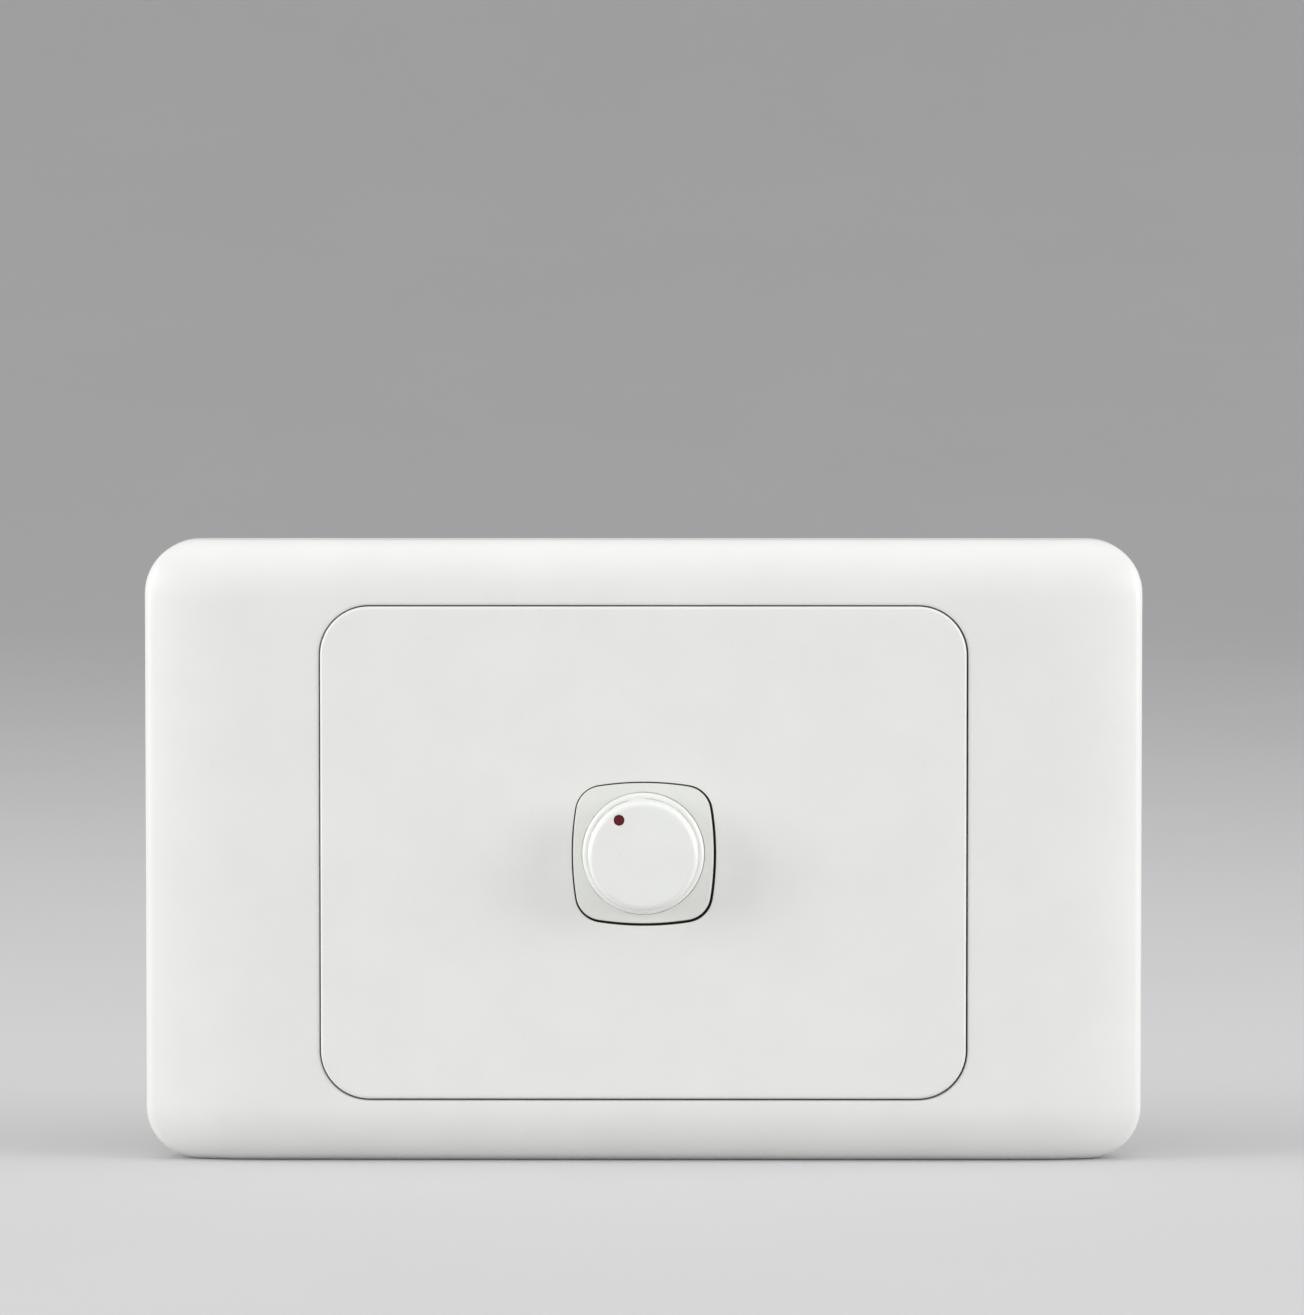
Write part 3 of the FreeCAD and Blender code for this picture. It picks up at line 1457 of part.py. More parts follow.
def make_terminal(label, place):
    """A brass terminal block with the wire's bore, a screw hole and a leg to the board."""
    body = new_body(label)
    x = d.terminal_pitch * place
    block = level(body, "block", terminal_mouth())
    rectangle(block, d.terminal_width, d.terminal_height, x, -terminal_drop())
    add(body, block, d.terminal_depth)
    leg = level(body, "leg", terminal_mouth() + d.terminal_depth)
    rectangle(leg, d.terminal_width / 2, d.terminal_leg, x, -terminal_drop())
    add(body, leg, board_rear() - terminal_mouth() - d.terminal_depth)
    bore = level(body, "bore", terminal_mouth())
    circle(bore, d.terminal_bore, x, -terminal_drop())
    take(body, bore, d.terminal_depth - d.terminal_seat)
    edge = terminal_drop() + d.terminal_height / 2
    hole = sketch_on(body, "XZ_Plane", "screw_hole", 0, edge)
    circle(hole, d.terminal_screw + d.seat_play, x, terminal_mouth() + d.terminal_depth / 2)
    take(body, hole, -d.terminal_height / 2)
    return body


def make_terminal_screws():
    """Three slotted grub screws, backed out clear of the wires' bores."""
    body = new_body("terminal_screws")
    inner = terminal_drop() + d.terminal_bore + d.running_gap
    outer = module_height() / 2 - d.case_wall - d.running_gap * 2
    height = terminal_mouth() + d.terminal_depth / 2
    shanks = sketch_on(body, "XZ_Plane", "shanks", 0, inner)
    for place in (-1, 0, 1):
        circle(shanks, d.terminal_screw, d.terminal_pitch * place, height)
    add(body, shanks, outer - inner)
    slots = sketch_on(body, "XZ_Plane", "slots", 0, outer)
    for place in (-1, 0, 1):
        rectangle(slots, d.terminal_screw * 2, d.slot_width, d.terminal_pitch * place, height)
    take(body, slots, -d.slot_width)
    return body


def make_case_screws():
    """Two self-tapping screws from the back of the case into the posts."""
    body = new_body("case_screws")
    seat = -d.module_rear
    tip = bezel_back() - d.post_reach + d.screw_bite
    for side in (-1, 1):
        profile = upright(body, "screw_profile", post_x() * side, post_y() * side)
        polygon(profile, [
            (0, seat - d.screw_cap),
            (d.screw_head, seat - d.screw_cap),
            (d.screw_head, seat),
            (d.case_screw, seat),
            (d.case_screw, tip),
            (0, tip),
        ])
        turn(body, profile)
    slot = level(body, "slot", seat - d.screw_cap)
    for side in (-1, 1):
        rectangle(slot, d.screw_head * 2, d.slot_width, post_x() * side, post_y() * side)
    take(body, slot, d.screw_cap / 2)
    return body


MAKERS = [
    make_surround, make_grid_plate, make_fixing_screws,
    make_module_bezel, make_module_case, make_case_screws,
    make_knob, make_indicator_dot, make_knob_clip, make_pot_shaft,
    make_pot_bushing, make_pot_washer, make_pot_nut, make_pot_can,
    make_track_wafer, make_pot_terminals, make_wiper_rotor, make_wiper_brush,
    make_switch_case, make_fixed_contacts, make_switch_plunger, make_moving_contact,
    make_return_spring, make_circuit_board, make_heat_sink, make_triac, make_triac_screw,
    make_choke_core, make_choke_winding, make_film_capacitor, make_timing_capacitor,
    make_fuse, make_diac, make_resistors, make_terminal_screws,
]

TERMINALS = [("terminal_line", -1), ("terminal_loop", 0), ("terminal_load", 1)]


def check(bodies):
    """Stop if any object failed to compute or any sub-part is empty or invalid."""
    failed = [item.Name for item in doc.Objects if "Invalid" in item.State or "Error" in item.State]
    if failed:
        raise RuntimeError("failed to compute: " + ", ".join(failed))
    for body in bodies:
        if body.Shape.isNull() or not body.Shape.isValid() or not body.Shape.Solids:
            raise RuntimeError("not a valid solid: " + body.Label)


parts = [make() for make in MAKERS]
parts += [make_terminal(label, place) for label, place in TERMINALS]
doc.recompute()
check(parts)
os.makedirs("parts", exist_ok=True)
for part in parts:
    part.Shape.exportStep(f"parts/{part.Label}.step")
    print(f"{part.Label}: {len(part.Shape.Solids)} solids, {part.Shape.Volume:.1f} mm3")
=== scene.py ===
"""A rotary dimmer on its wall plate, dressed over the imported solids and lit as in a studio."""

import json
import math

import bmesh
import bpy
import numpy as np
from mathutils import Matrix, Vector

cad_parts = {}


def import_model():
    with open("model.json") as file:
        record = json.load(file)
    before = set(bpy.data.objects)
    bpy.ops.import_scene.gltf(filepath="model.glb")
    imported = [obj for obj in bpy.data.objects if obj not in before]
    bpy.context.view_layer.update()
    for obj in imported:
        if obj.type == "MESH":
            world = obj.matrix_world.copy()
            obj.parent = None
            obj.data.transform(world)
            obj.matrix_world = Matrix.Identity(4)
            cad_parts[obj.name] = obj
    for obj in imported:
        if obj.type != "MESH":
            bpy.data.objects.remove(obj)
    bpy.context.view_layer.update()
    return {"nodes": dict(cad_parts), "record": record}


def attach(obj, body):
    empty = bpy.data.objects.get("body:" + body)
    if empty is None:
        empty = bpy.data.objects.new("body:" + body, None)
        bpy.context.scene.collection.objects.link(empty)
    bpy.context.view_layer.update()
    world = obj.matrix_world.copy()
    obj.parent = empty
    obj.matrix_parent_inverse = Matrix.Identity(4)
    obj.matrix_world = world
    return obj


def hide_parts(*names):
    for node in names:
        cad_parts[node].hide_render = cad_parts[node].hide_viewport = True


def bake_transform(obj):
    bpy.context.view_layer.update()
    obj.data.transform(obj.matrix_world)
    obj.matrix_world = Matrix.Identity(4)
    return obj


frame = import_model()

# Sizes in millimetres, in the maker's drawing: x to the right, y up, z out of the wall.

# Rounded rectangles: width, height and the corners' radius.
PLATE = (116.0, 72.4, 6.2)
OPENING = (75.22, 57.58, 5.79)
PANEL = (74.92, 57.26, 5.63)
FLANGE = (111.0, 67.4, 3.7)
HOLLOW = (70.6, 52.8, 3.45)
COVER_ROOF = (89.0, 59.0, 2.0)
BEZEL_BASE = (44.0, 25.0, 1.6)

# Squares with bowed sides: half the width, the sides' radius and the corners' radius.
WINDOW = (8.38, 34.0, 3.26)
BEZEL = (8.17, 33.84, 3.05)

# Middles of the forms that stand a shade off the axis.
OPENING_PLACE = np.array([0.03, -0.03])
WINDOW_PLACE = np.array([0.075, -0.075])
WELL_PLACE = np.array([0.02, -0.02])

# Heights over the wall, from the knob's face to the board's rear.
KNOB_FACE = 14.0
DOT_SEAT = 13.5
KNOB_ROOF = 12.6
KNOB_SHELF = 10.5
PANEL_FACE = 9.5
COVER_FACE = 9.3
KNOB_LOW = 8.1
PANEL_BACK = 7.3
WELL_FLOOR = 6.3
BEZEL_BACK = 4.8
FLANGE_THICK = 2.5
CAN_DEPTH, WAFER_THICK, SWITCH_DEPTH, BOARD_THICK = 6.0, 0.8, 7.2, 1.6
SWITCH_REAR = BEZEL_BACK - CAN_DEPTH - WAFER_THICK - SWITCH_DEPTH
BOARD_REAR = SWITCH_REAR - BOARD_THICK

# Walls, radii and runs, and the dot's place in the knob's face.
COVER_WALL = 2.0
CROWN_DROP = 3.4
CROWN_RUN = (13.5, 6.7)
KNOB_CAP = 6.37
KNOB_SKIRT = 7.07
DOT_CENTRE = (-2.767, 4.165)
DOT_RADIUS = 0.6
WELL_RADIUS = 7.11

# The screws' and posts' places on either side, and the return spring between its two seats.
FIXING_X = 42.0
POST = (18.0, 8.5)
SPRING = (-7.80, -4.40)
SPRING_RADIUS, SPRING_WIRE, SPRING_TURNS = 2.9, 0.17, 3.0

# The room that a fuse, diode or resistor on its legs leaves over the board.
LEG_ROOM = 0.6


# Outlines: closed rows of points, all with the same count, so that any two can be joined.

SIDE_STEPS = 26
CORNER_STEPS = 14
ROUND = 4 * (SIDE_STEPS + CORNER_STEPS)


def rounded_outline(width, height, corner, grow=0.0):
    """Points round a rounded rectangle, anticlockwise from the foot of its right side. A side is
    a straight row of even steps and a corner a quarter circle of even steps; grow moves the
    whole outline outwards."""
    x, y, r = width / 2 + grow, height / 2 + grow, corner + grow
    straight = np.arange(SIDE_STEPS) / SIDE_STEPS
    bend = np.radians(90) * np.arange(CORNER_STEPS) / CORNER_STEPS
    rows = []
    for turn, across, along in ((0, x, y), (90, y, x), (180, x, y), (270, y, x)):
        side = np.stack([np.full(SIDE_STEPS, across), (along - r) * (2 * straight - 1)], 1)
        arc = np.stack([across - r + r * np.cos(bend), along - r + r * np.sin(bend)], 1)
        rows.append(np.concatenate([side, arc]) @ turned(turn).T)
    return np.concatenate(rows)


def turned(degrees):
    """The matrix that turns points anticlockwise: rows (cos, -sin) and (sin, cos) of the angle."""
    a = math.radians(degrees)
    return np.array([[math.cos(a), -math.sin(a)], [math.sin(a), math.cos(a)]])


def bowed_outline(half, bow, corner, grow=0.0):
    """Points round a square with bowed sides: each side is an arc of radius bow whose middle point
    is half away, so its centre lies bow - half behind the square's own. Each corner's centre is on
    the diagonal, bow - corner from the sides' centres, so that the arcs meet without a crease."""
    half, bow, corner = half + grow, bow + grow, corner + grow
    back = bow - half
    inner = bow - corner
    middle = (math.sqrt(2 * inner * inner - back * back) - back) / 2
    swing = math.atan2(middle, middle + back)
    side = swing * (2 * np.arange(SIDE_STEPS) / SIDE_STEPS - 1)
    bend = swing + (math.pi / 2 - 2 * swing) * np.arange(CORNER_STEPS) / CORNER_STEPS
    bowed = np.stack([bow * np.cos(side) - back, bow * np.sin(side)], 1)
    arc = np.stack([middle + corner * np.cos(bend), middle + corner * np.sin(bend)], 1)
    quarter = np.concatenate([bowed, arc])
    return np.concatenate([quarter @ turned(turn).T for turn in (0, 90, 180, 270)])


def round_outline(radius, like=None, centre=(0, 0), count=ROUND):
    """Points round a circle, in even steps or at the angles of another outline's points."""
    angle = 2 * math.pi * np.arange(count) / count
    if like is not None:
        angle = np.arctan2(like[:, 1], like[:, 0])
    return np.stack([centre[0] + radius * np.cos(angle), centre[1] + radius * np.sin(angle)], 1)


def lifted(outline, z):
    """An outline at the height z, which may differ from point to point."""
    return np.column_stack([outline, np.broadcast_to(z, len(outline))])


def quarter_steps(count):
    """Pairs (1 - cos, sin) for even steps of a quarter turn: the shares of a rounded edge's run
    and rise."""
    a = np.radians(90) * np.arange(count + 1) / count
    return list(zip(1 - np.cos(a), np.sin(a)))


# Surfaces.

# Edges sharper than these stay edges, on a surface drawn afresh and on a solid.
DRAWN_CREASE, SOLID_CREASE = math.radians(40), math.radians(28)


def world(points):
    """The maker's millimetres as metres in the part's frame, where the front looks along -Y: x
    stays, y is the maker's -z, and z is the maker's y."""
    p = np.asarray(points, float) * 0.001
    return np.stack([p[..., 0], -p[..., 2], p[..., 1]], -1)


def mesh_piece(name, shells):
    """One object from shells of (points, arrays of faces with the same number of corners), shaded
    smooth but for edges sharper than DRAWN_CREASE."""
    starts = np.cumsum([0] + [len(points) for points, _ in shells])
    tables = [start + table for start, (_, tables) in zip(starts, shells) for table in tables]
    corners = np.concatenate([table.ravel() for table in tables])
    sizes = np.concatenate([np.full(len(table), table.shape[1]) for table in tables])
    mesh = bpy.data.meshes.new(name)
    mesh.vertices.add(starts[-1])
    places = world(np.concatenate([points for points, _ in shells]))
    mesh.vertices.foreach_set("co", places.ravel())
    mesh.loops.add(len(corners))
    mesh.loops.foreach_set("vertex_index", corners)
    mesh.polygons.add(len(sizes))
    mesh.polygons.foreach_set("loop_start", np.cumsum(sizes) - sizes)
    mesh.update(calc_edges=True)
    work = bmesh.new()
    work.from_mesh(mesh)
    bmesh.ops.recalc_face_normals(work, faces=work.faces)
    work.to_mesh(mesh)
    work.free()
    mesh.polygons.foreach_set("use_smooth", np.ones(len(mesh.polygons), bool))
    mesh.set_sharp_from_angle(angle=DRAWN_CREASE)
    mark_edges(mesh)
    piece = bpy.data.objects.new(name, mesh)
    bpy.context.scene.collection.objects.link(piece)
    return piece


# Marks for wear and painted shade: the mark of a bend of one radian in a millimetre, the angle in
# radians past which an edge counts as sharp, the marks of a sharp edge and of a bevel, and a narrow
# face's width.
BEND_MARK, SHARP_ANGLE, SHARP_MARK, BEVEL_MARK, NARROW = 0.25, 0.6, 0.8, 0.9, 0.7


def read(items, key, kind=float, width=1):
    """One property of all the vertices, loops or polygons of a mesh, as an array."""
    values = np.empty(len(items) * width, kind)
    items.foreach_get(key, values)
    return values.reshape(-1, width) if width > 1 else values


def mark_edges(mesh):
    """The attribute that finishes read for wear and painted shade: how sharply the surface bends at
    each point of a narrow face. For two faces that share an edge this is the angle between them, over
    the distance of their middles, signed by whether they bend outwards (wear) or inwards (painted
    shade).
    A face is narrow where its area over the length of its bent sides is under NARROW; wide faces
    get none."""
    sizes = read(mesh.polygons, "loop_total", np.int32)
    owner = np.repeat(np.arange(len(sizes)), sizes)
    edge = read(mesh.loops, "edge_index", np.int32)
    order = np.argsort(edge, kind="stable")
    pair = np.flatnonzero(edge[order][:-1] == edge[order][1:])
    one, two = owner[order[pair]], owner[order[pair + 1]]
    normal = read(mesh.polygons, "normal", float, 3)
    middle = read(mesh.polygons, "center", float, 3) * 1000
    across = middle[two] - middle[one]
    away = np.linalg.norm(across, axis=1) + 0.05
    angle = np.arccos(np.clip((normal[one] * normal[two]).sum(1), -1, 1))
    way = np.sign((across * (normal[two] - normal[one])).sum(1))
    sharp = np.where(angle > SHARP_ANGLE, SHARP_MARK, 0)
    bend = np.clip(way * np.maximum(BEND_MARK * angle / away, sharp), -1, 1)
    ends = read(mesh.edges, "vertices", np.int32, 2)[edge[order[pair]]]
    # Outward bends become wear in the finishes, and inward bends become painted shade.
    worn, painted_shade = np.zeros(len(mesh.vertices)), np.zeros(len(mesh.vertices))
    for end in (0, 1):
        np.maximum.at(worn, ends[:, end], bend)
        np.minimum.at(painted_shade, ends[:, end], bend)
    ends = read(mesh.edges, "vertices", np.int32, 2)
    spot = read(mesh.vertices, "co", float, 3) * 1000
    length = np.linalg.norm(spot[ends[:, 0]] - spot[ends[:, 1]], axis=1)
    strength = np.full(len(length), 1e-6)
    strength[edge[order[pair]]] += np.abs(bend)
    first = read(mesh.polygons, "loop_start", np.int32)
    bent = np.add.reduceat((length * strength)[edge], first) / np.add.reduceat(strength[edge], first)
    narrow = read(mesh.polygons, "area") * 1e6 < NARROW * bent
    marks = (worn + painted_shade)[read(mesh.loops, "vertex_index", np.int32)] * narrow[owner]
    mesh.attributes.new("edge", "FLOAT", "CORNER").data.foreach_set("value", marks)


def skin(loops, ring=True):
    """A surface through a stack of outlines: point j of outline i is joined to its neighbours in the
    same outline and in the next. A ring joins the last outline to the first; otherwise both
    ends are closed with a flat face."""
    stack = np.stack(loops)
    rows, count = stack.shape[:2]
    index = np.arange(rows * count).reshape(rows, count)
    near = index if ring else index[:-1]
    far = np.roll(index, -1, 0) if ring else index[1:]
    tables = [np.stack([near, np.roll(near, -1, 1), np.roll(far, -1, 1), far], -1).reshape(-1, 4)]
    if not ring:
        tables += [index[:1, ::-1], index[-1:]]
    return stack.reshape(-1, 3), tables


def crown_height(xy):
    """The cover's face: flat in the middle, less an arc of fall towards each side and each end. An
    arc that falls drop over its run has the radius (run^2 + drop^2) / (2 drop), and a point that
    lies beyond the flat by d has fallen by radius - sqrt(radius^2 - d^2)."""
    z = np.full(len(xy), COVER_FACE)
    for axis, run in enumerate(CROWN_RUN):
        radius = (run * run + CROWN_DROP * CROWN_DROP) / (2 * CROWN_DROP)
        beyond = np.clip(np.abs(xy[:, axis]) - (PLATE[axis] / 2 - run), 0, run)
        z -= radius - np.sqrt(radius * radius - beyond * beyond)
    return z


def opening_outline(grow=0.0):
    """The cover's opening, a shade low and to the right of the panel in it."""
    return rounded_outline(*OPENING, grow=grow) + OPENING_PLACE


def cover():
    """The cover: up the wall of its opening, over a rounded lip, across the crown, round the rim,
    down the side, and back up inside to where it began. Across the crown each outline is the
    lip's plus a share of the way to the rim's, at the crown's own height."""
    lip, rim, foot, ease = 0.35, 0.8, 0.25, 0.15
    rim_fall = rim * 0.9
    roof = COVER_FACE - COVER_WALL
    loops = [lifted(opening_outline(), roof), lifted(opening_outline(), COVER_FACE - lip * 1.3)]
    for run, rise in quarter_steps(6):
        loops.append(lifted(opening_outline(lip * run), COVER_FACE - lip * (1 - rise)))
    inner = opening_outline(lip)
    outer = rounded_outline(*PLATE, grow=-rim)
    for share in np.concatenate([[0.01], np.linspace(0.04, 1, 40)]):
        between = inner + (outer - inner) * share
        loops.append(lifted(between, crown_height(between)))
    for run, rise in quarter_steps(8)[1:]:
        edge = rounded_outline(*PLATE, grow=-rim * (1 - rise))
        loops.append(lifted(edge, crown_height(edge) - rim_fall * run))
    side = rounded_outline(*PLATE)
    loops.append(lifted(side, crown_height(side) - rim_fall - 0.1))
    loops.append(lifted(side, 1.6 * foot))
    for run, rise in quarter_steps(4):
        loops.append(lifted(rounded_outline(*PLATE, grow=-foot * run), foot * (1 - rise)))
    for grow, z in ((ease, 0), (0, ease), (0, 4.8)):
        loops.append(lifted(rounded_outline(*PLATE, grow=grow - COVER_WALL), z))
    loops.append(lifted(rounded_outline(*COVER_ROOF), roof))
    return [skin(loops)]


def bar(low, high):
    """A straight rib from its low corner to its high corner, with its upright edges eased."""
    edge = 0.15
    (x0, y0, z0), (x1, y1, z1) = low, high
    middle = [(x0 + x1) / 2, (y0 + y1) / 2]
    outline = rounded_outline(x1 - x0, y1 - y0, edge) + middle
    foot = rounded_outline(x1 - x0, y1 - y0, edge, grow=-edge * 0.6) + middle
    return skin([lifted(foot, z0), lifted(outline, z0 + edge), lifted(outline, z1)], ring=False)


def wedge(x0, x1, points):
    """A flat web between x0 and x1: its outline in y and z, carried along x."""
    outline = np.array(points, float)
    sides = [np.column_stack([np.full(len(outline), x), outline]) for x in (x0, x1)]
    return skin(sides, ring=False)


def boss(x):
    """A turned screw boss: its side, its top, the countersink and the hole down to the wall."""
    low = FLANGE_THICK - 0.3
    profile = [(4.6, low), (4.6, 4.7), (4.3, 5.0), (3.95, 5.0)]
    profile += [(2.0, 3.1), (2.0, 0.0), (3.2, 0.0), (3.2, low)]
    return skin(turned_loops(profile, 48, (x, 0)))


def plate():
    """The grid plate: down the window, along the hollow's roof and wall to the wall face, round the
    flange, up the panel's side, over its rounded edge and across its face, where each outline is
    the panel's rim plus a share of the way to the window's."""
    edge, sill, ease = 0.38, 0.1, 0.3
    loops = []
    for run, rise in reversed(quarter_steps(5)):
        sill_row = bowed_outline(*WINDOW, grow=sill * run) + WINDOW_PLACE
        loops.append(lifted(sill_row, PANEL_FACE - sill * (1 - rise)))
    window = bowed_outline(*WINDOW) + WINDOW_PLACE
    loops += [lifted(window, PANEL_FACE - sill * 1.5), lifted(window, PANEL_BACK)]
    rows = [(HOLLOW, -0.4, PANEL_BACK), (HOLLOW, 0, PANEL_BACK - 0.4)]
    rows += [(HOLLOW, 0, 0.2), (HOLLOW, 0.2, 0), (FLANGE, -ease, 0)]
    rows += [(FLANGE, 0, ease), (FLANGE, 0, FLANGE_THICK - ease)]
    rows += [(FLANGE, -ease, FLANGE_THICK), (PANEL, ease, FLANGE_THICK)]
    rows += [(PANEL, 0, FLANGE_THICK + ease), (PANEL, 0, PANEL_FACE - edge * 1.4)]
    rows += [(PANEL, -edge * run, PANEL_FACE - edge * (1 - rise)) for run, rise in quarter_steps(7)]
    loops += [lifted(rounded_outline(*size, grow=grow), z) for size, grow, z in rows]
    rim = rounded_outline(*PANEL, grow=-edge)
    sill_edge = bowed_outline(*WINDOW, grow=sill) + WINDOW_PLACE
    for share in (0.012, 0.1, 0.25, 0.4, 0.55, 0.7, 0.85, 0.985):
        loops.append(lifted(rim + (sill_edge - rim) * share, PANEL_FACE))
    shells = [skin(loops)]
    for side in (-1, 1):
        y0, y1 = sorted((12.65 * side, 13.85 * side))
        shells.append(bar((-18.0, y0, 2.0), (18.0, y1, PANEL_BACK)))
        x0, x1 = sorted((22.15 * side, 23.35 * side))
        shells.append(bar((x0, -12.5, 2.0), (x1, 12.5, PANEL_BACK)))
        web = [(27.5 * side, 1.25), (32.3 * side, 1.25), (32.3 * side, 2.5), (27.5 * side, 4.4)]
        shells += [wedge(place - 0.6, place + 0.6, web) for place in (-30.0, -10.0, 10.0, 30.0)]
        shells.append(boss(FIXING_X * side))
    return shells


def bezel():
    """The module's front: the bowed face and its rounded edge, the well and its floor, and the
    square base behind it with its two posts. Across the face each outline is the well's plus a
    share of the way to the rim's."""
    edge, lip, ease, hole = 0.2, 0.06, 0.15, 3.55
    like = bowed_outline(*BEZEL)
    loops = []
    for radius, z in ((hole, BEZEL_BACK), (hole, WELL_FLOOR - 0.1), (hole + 0.1, WELL_FLOOR)):
        loops.append(lifted(round_outline(radius, like), z))
    rows = [(WELL_RADIUS - 0.2, WELL_FLOOR), (WELL_RADIUS, WELL_FLOOR + 0.2)]
    for run, rise in quarter_steps(5):
        rows.append((WELL_RADIUS + lip * run, PANEL_FACE - lip * (1 - rise)))
    loops += [lifted(round_outline(radius, like, WELL_PLACE), z) for radius, z in rows]
    well = round_outline(WELL_RADIUS + lip, like, WELL_PLACE)
    rim = bowed_outline(*BEZEL, grow=-edge)
    for share in (0.06, 0.5, 0.94):
        loops.append(lifted(well + (rim - well) * share, PANEL_FACE))
    for run, rise in reversed(quarter_steps(6)):
        loops.append(lifted(bowed_outline(*BEZEL, grow=-edge * run), PANEL_FACE - edge * (1 - rise)))
    loops.append(lifted(bowed_outline(*BEZEL), PANEL_BACK))
    for grow, z in ((-ease, PANEL_BACK), (0, PANEL_BACK - ease), (0, BEZEL_BACK)):
        loops.append(lifted(rounded_outline(*BEZEL_BASE, grow=grow), z))
    shells = [skin(loops)]
    half, low = 2.2, BEZEL_BACK - 16.0
    for side in (-1, 1):
        x, y = POST[0] * side, POST[1] * side
        shells.append(bar((x - half, y - half, low), (x + half, y + half, BEZEL_BACK)))
    return shells


def turned_loops(profile, count=160, centre=(0, 0)):
    """A turned form: each (radius, height) of the profile carried once round the axis, so that its
    point at the angle a is (centre + radius cos a, centre + radius sin a, height)."""
    radius, z = np.array(profile, float).T[:, :, None]
    angle = 2 * math.pi * np.arange(count) / count
    x = centre[0] + np.maximum(radius, 0.001) * np.cos(angle)
    y = centre[1] + np.maximum(radius, 0.001) * np.sin(angle)
    return list(np.stack([x, y, z + 0 * angle], -1))


def eased(radius, z, size, steps):
    """An outer rounded corner of a turned form: a quarter circle from its top down to its side."""
    return [(radius - size * run, z - size * (1 - rise)) for run, rise in quarter_steps(steps)][::-1]


def knob():
    """The turned knob. Its face starts from the dot's seat, whose circles widen and drift back to
    the axis; then come the cap's rounded edge, the shelf, the skirt and the hollow behind, with
    the hub and its bore."""
    seat, bore, hub, hollow, hub_face = DOT_RADIUS + 0.03, 3.02, 4.0, 5.45, 10.25
    hole = [(0, DOT_SEAT), (seat, DOT_SEAT), (seat, KNOB_FACE - 0.05), (seat + 0.05, KNOB_FACE)]
    loops = turned_loops(hole, centre=DOT_CENTRE)
    last = loops[-1]
    face = turned_loops([(KNOB_CAP - 0.72, KNOB_FACE)])[0]
    loops += [last + (face - last) * share for share in (0.05, 0.2, 0.4, 0.6, 0.8, 0.96)]
    profile = eased(KNOB_CAP, KNOB_FACE, 0.7, 10)
    profile += [(KNOB_CAP, KNOB_SHELF + 0.3), (KNOB_CAP + 0.02, KNOB_SHELF + 0.04)]
    profile += [(KNOB_CAP + 0.06, KNOB_SHELF)] + eased(KNOB_SKIRT, KNOB_SHELF, 0.5, 8)
    profile += [(KNOB_SKIRT, KNOB_LOW + 0.15), (KNOB_SKIRT - 0.15, KNOB_LOW)]
    profile += [(hollow + 0.1, KNOB_LOW), (hollow, KNOB_LOW + 0.1), (hollow, KNOB_ROOF - 0.3)]
    profile += [(hollow - 0.3, KNOB_ROOF), (hub + 0.3, KNOB_ROOF), (hub, KNOB_ROOF - 0.3)]
    profile += [(hub, hub_face + 0.1), (hub - 0.1, hub_face), (bore + 0.08, hub_face)]
    profile += [(bore, hub_face + 0.1), (bore, KNOB_ROOF), (0, KNOB_ROOF)]
    return [skin(loops + turned_loops(profile), ring=False)]


def dot():
    """The dot's insert: a slightly domed top with an eased edge, and its stem in the seat."""
    top = KNOB_FACE - 0.02
    profile = [(0, top), (0.3, top - 0.004), (0.48, top - 0.02), (0.56, top - 0.06)]
    profile += [(DOT_RADIUS, top - 0.14), (DOT_RADIUS, DOT_SEAT + 0.02), (0, DOT_SEAT + 0.02)]
    return [skin(turned_loops(profile, count=48, centre=DOT_CENTRE), ring=False)]


def carried(middles, outwards, upwards, profile):
    """A profile carried along a line, with both ends closed: each point is the line's point plus
    the profile's two shares of the outward and the upward way there."""
    along = middles[:, None]
    rings = along + profile[:, :1] * outwards[:, None] + profile[:, 1:] * upwards[:, None]
    return skin(rings, ring=False)


def helix(radius, low, high, turns, steps):
    """A screw line about the z axis, and the ways out and up at each of its points: at the share s
    of its length it stands at the angle 2 pi turns s and at the height low + (high - low) s."""
    share = np.linspace(0, 1, int(turns * steps) + 1)
    angle = 2 * math.pi * turns * share
    out = np.column_stack([np.cos(angle), np.sin(angle), 0 * angle])
    up = np.tile([0.0, 0.0, 1.0], (len(out), 1))
    return out * radius + up * (low + (high - low) * share)[:, None], out, up


def thread(root, crest, pitch, low, high, centre):
    """A screw thread's ridge: a blunt three-sided profile carried along a screw line, which stops
    0.4 of a pitch short of both ends."""
    line = helix(root, low + pitch * 0.4, high - pitch * 0.4, (high - low) / pitch - 0.8, 20)
    foot, top = -0.06, crest - root
    profile = np.array([(foot, -0.42), (top, -0.08), (top, 0.08), (foot, 0.42)]) * [1, pitch]
    points, tables = carried(*line, profile)
    return points + [*centre, 0], tables


def coil(low, high):
    """A spring: a round wire carried along a screw line."""
    line = helix(SPRING_RADIUS, low, high, SPRING_TURNS, 40)
    return carried(*line, round_outline(SPRING_WIRE, count=12))


def lying(shell, x, z):
    """A turned shell laid down so that its axis runs along y through (x, z)."""
    points, tables = shell
    return np.stack([x + points[:, 0], points[:, 2], z + points[:, 1]], 1), tables


def turned_shell(profile, count):
    """A solid turned form from a (radius, height) profile that starts and ends on its axis."""
    return skin(turned_loops(profile, count), ring=False)


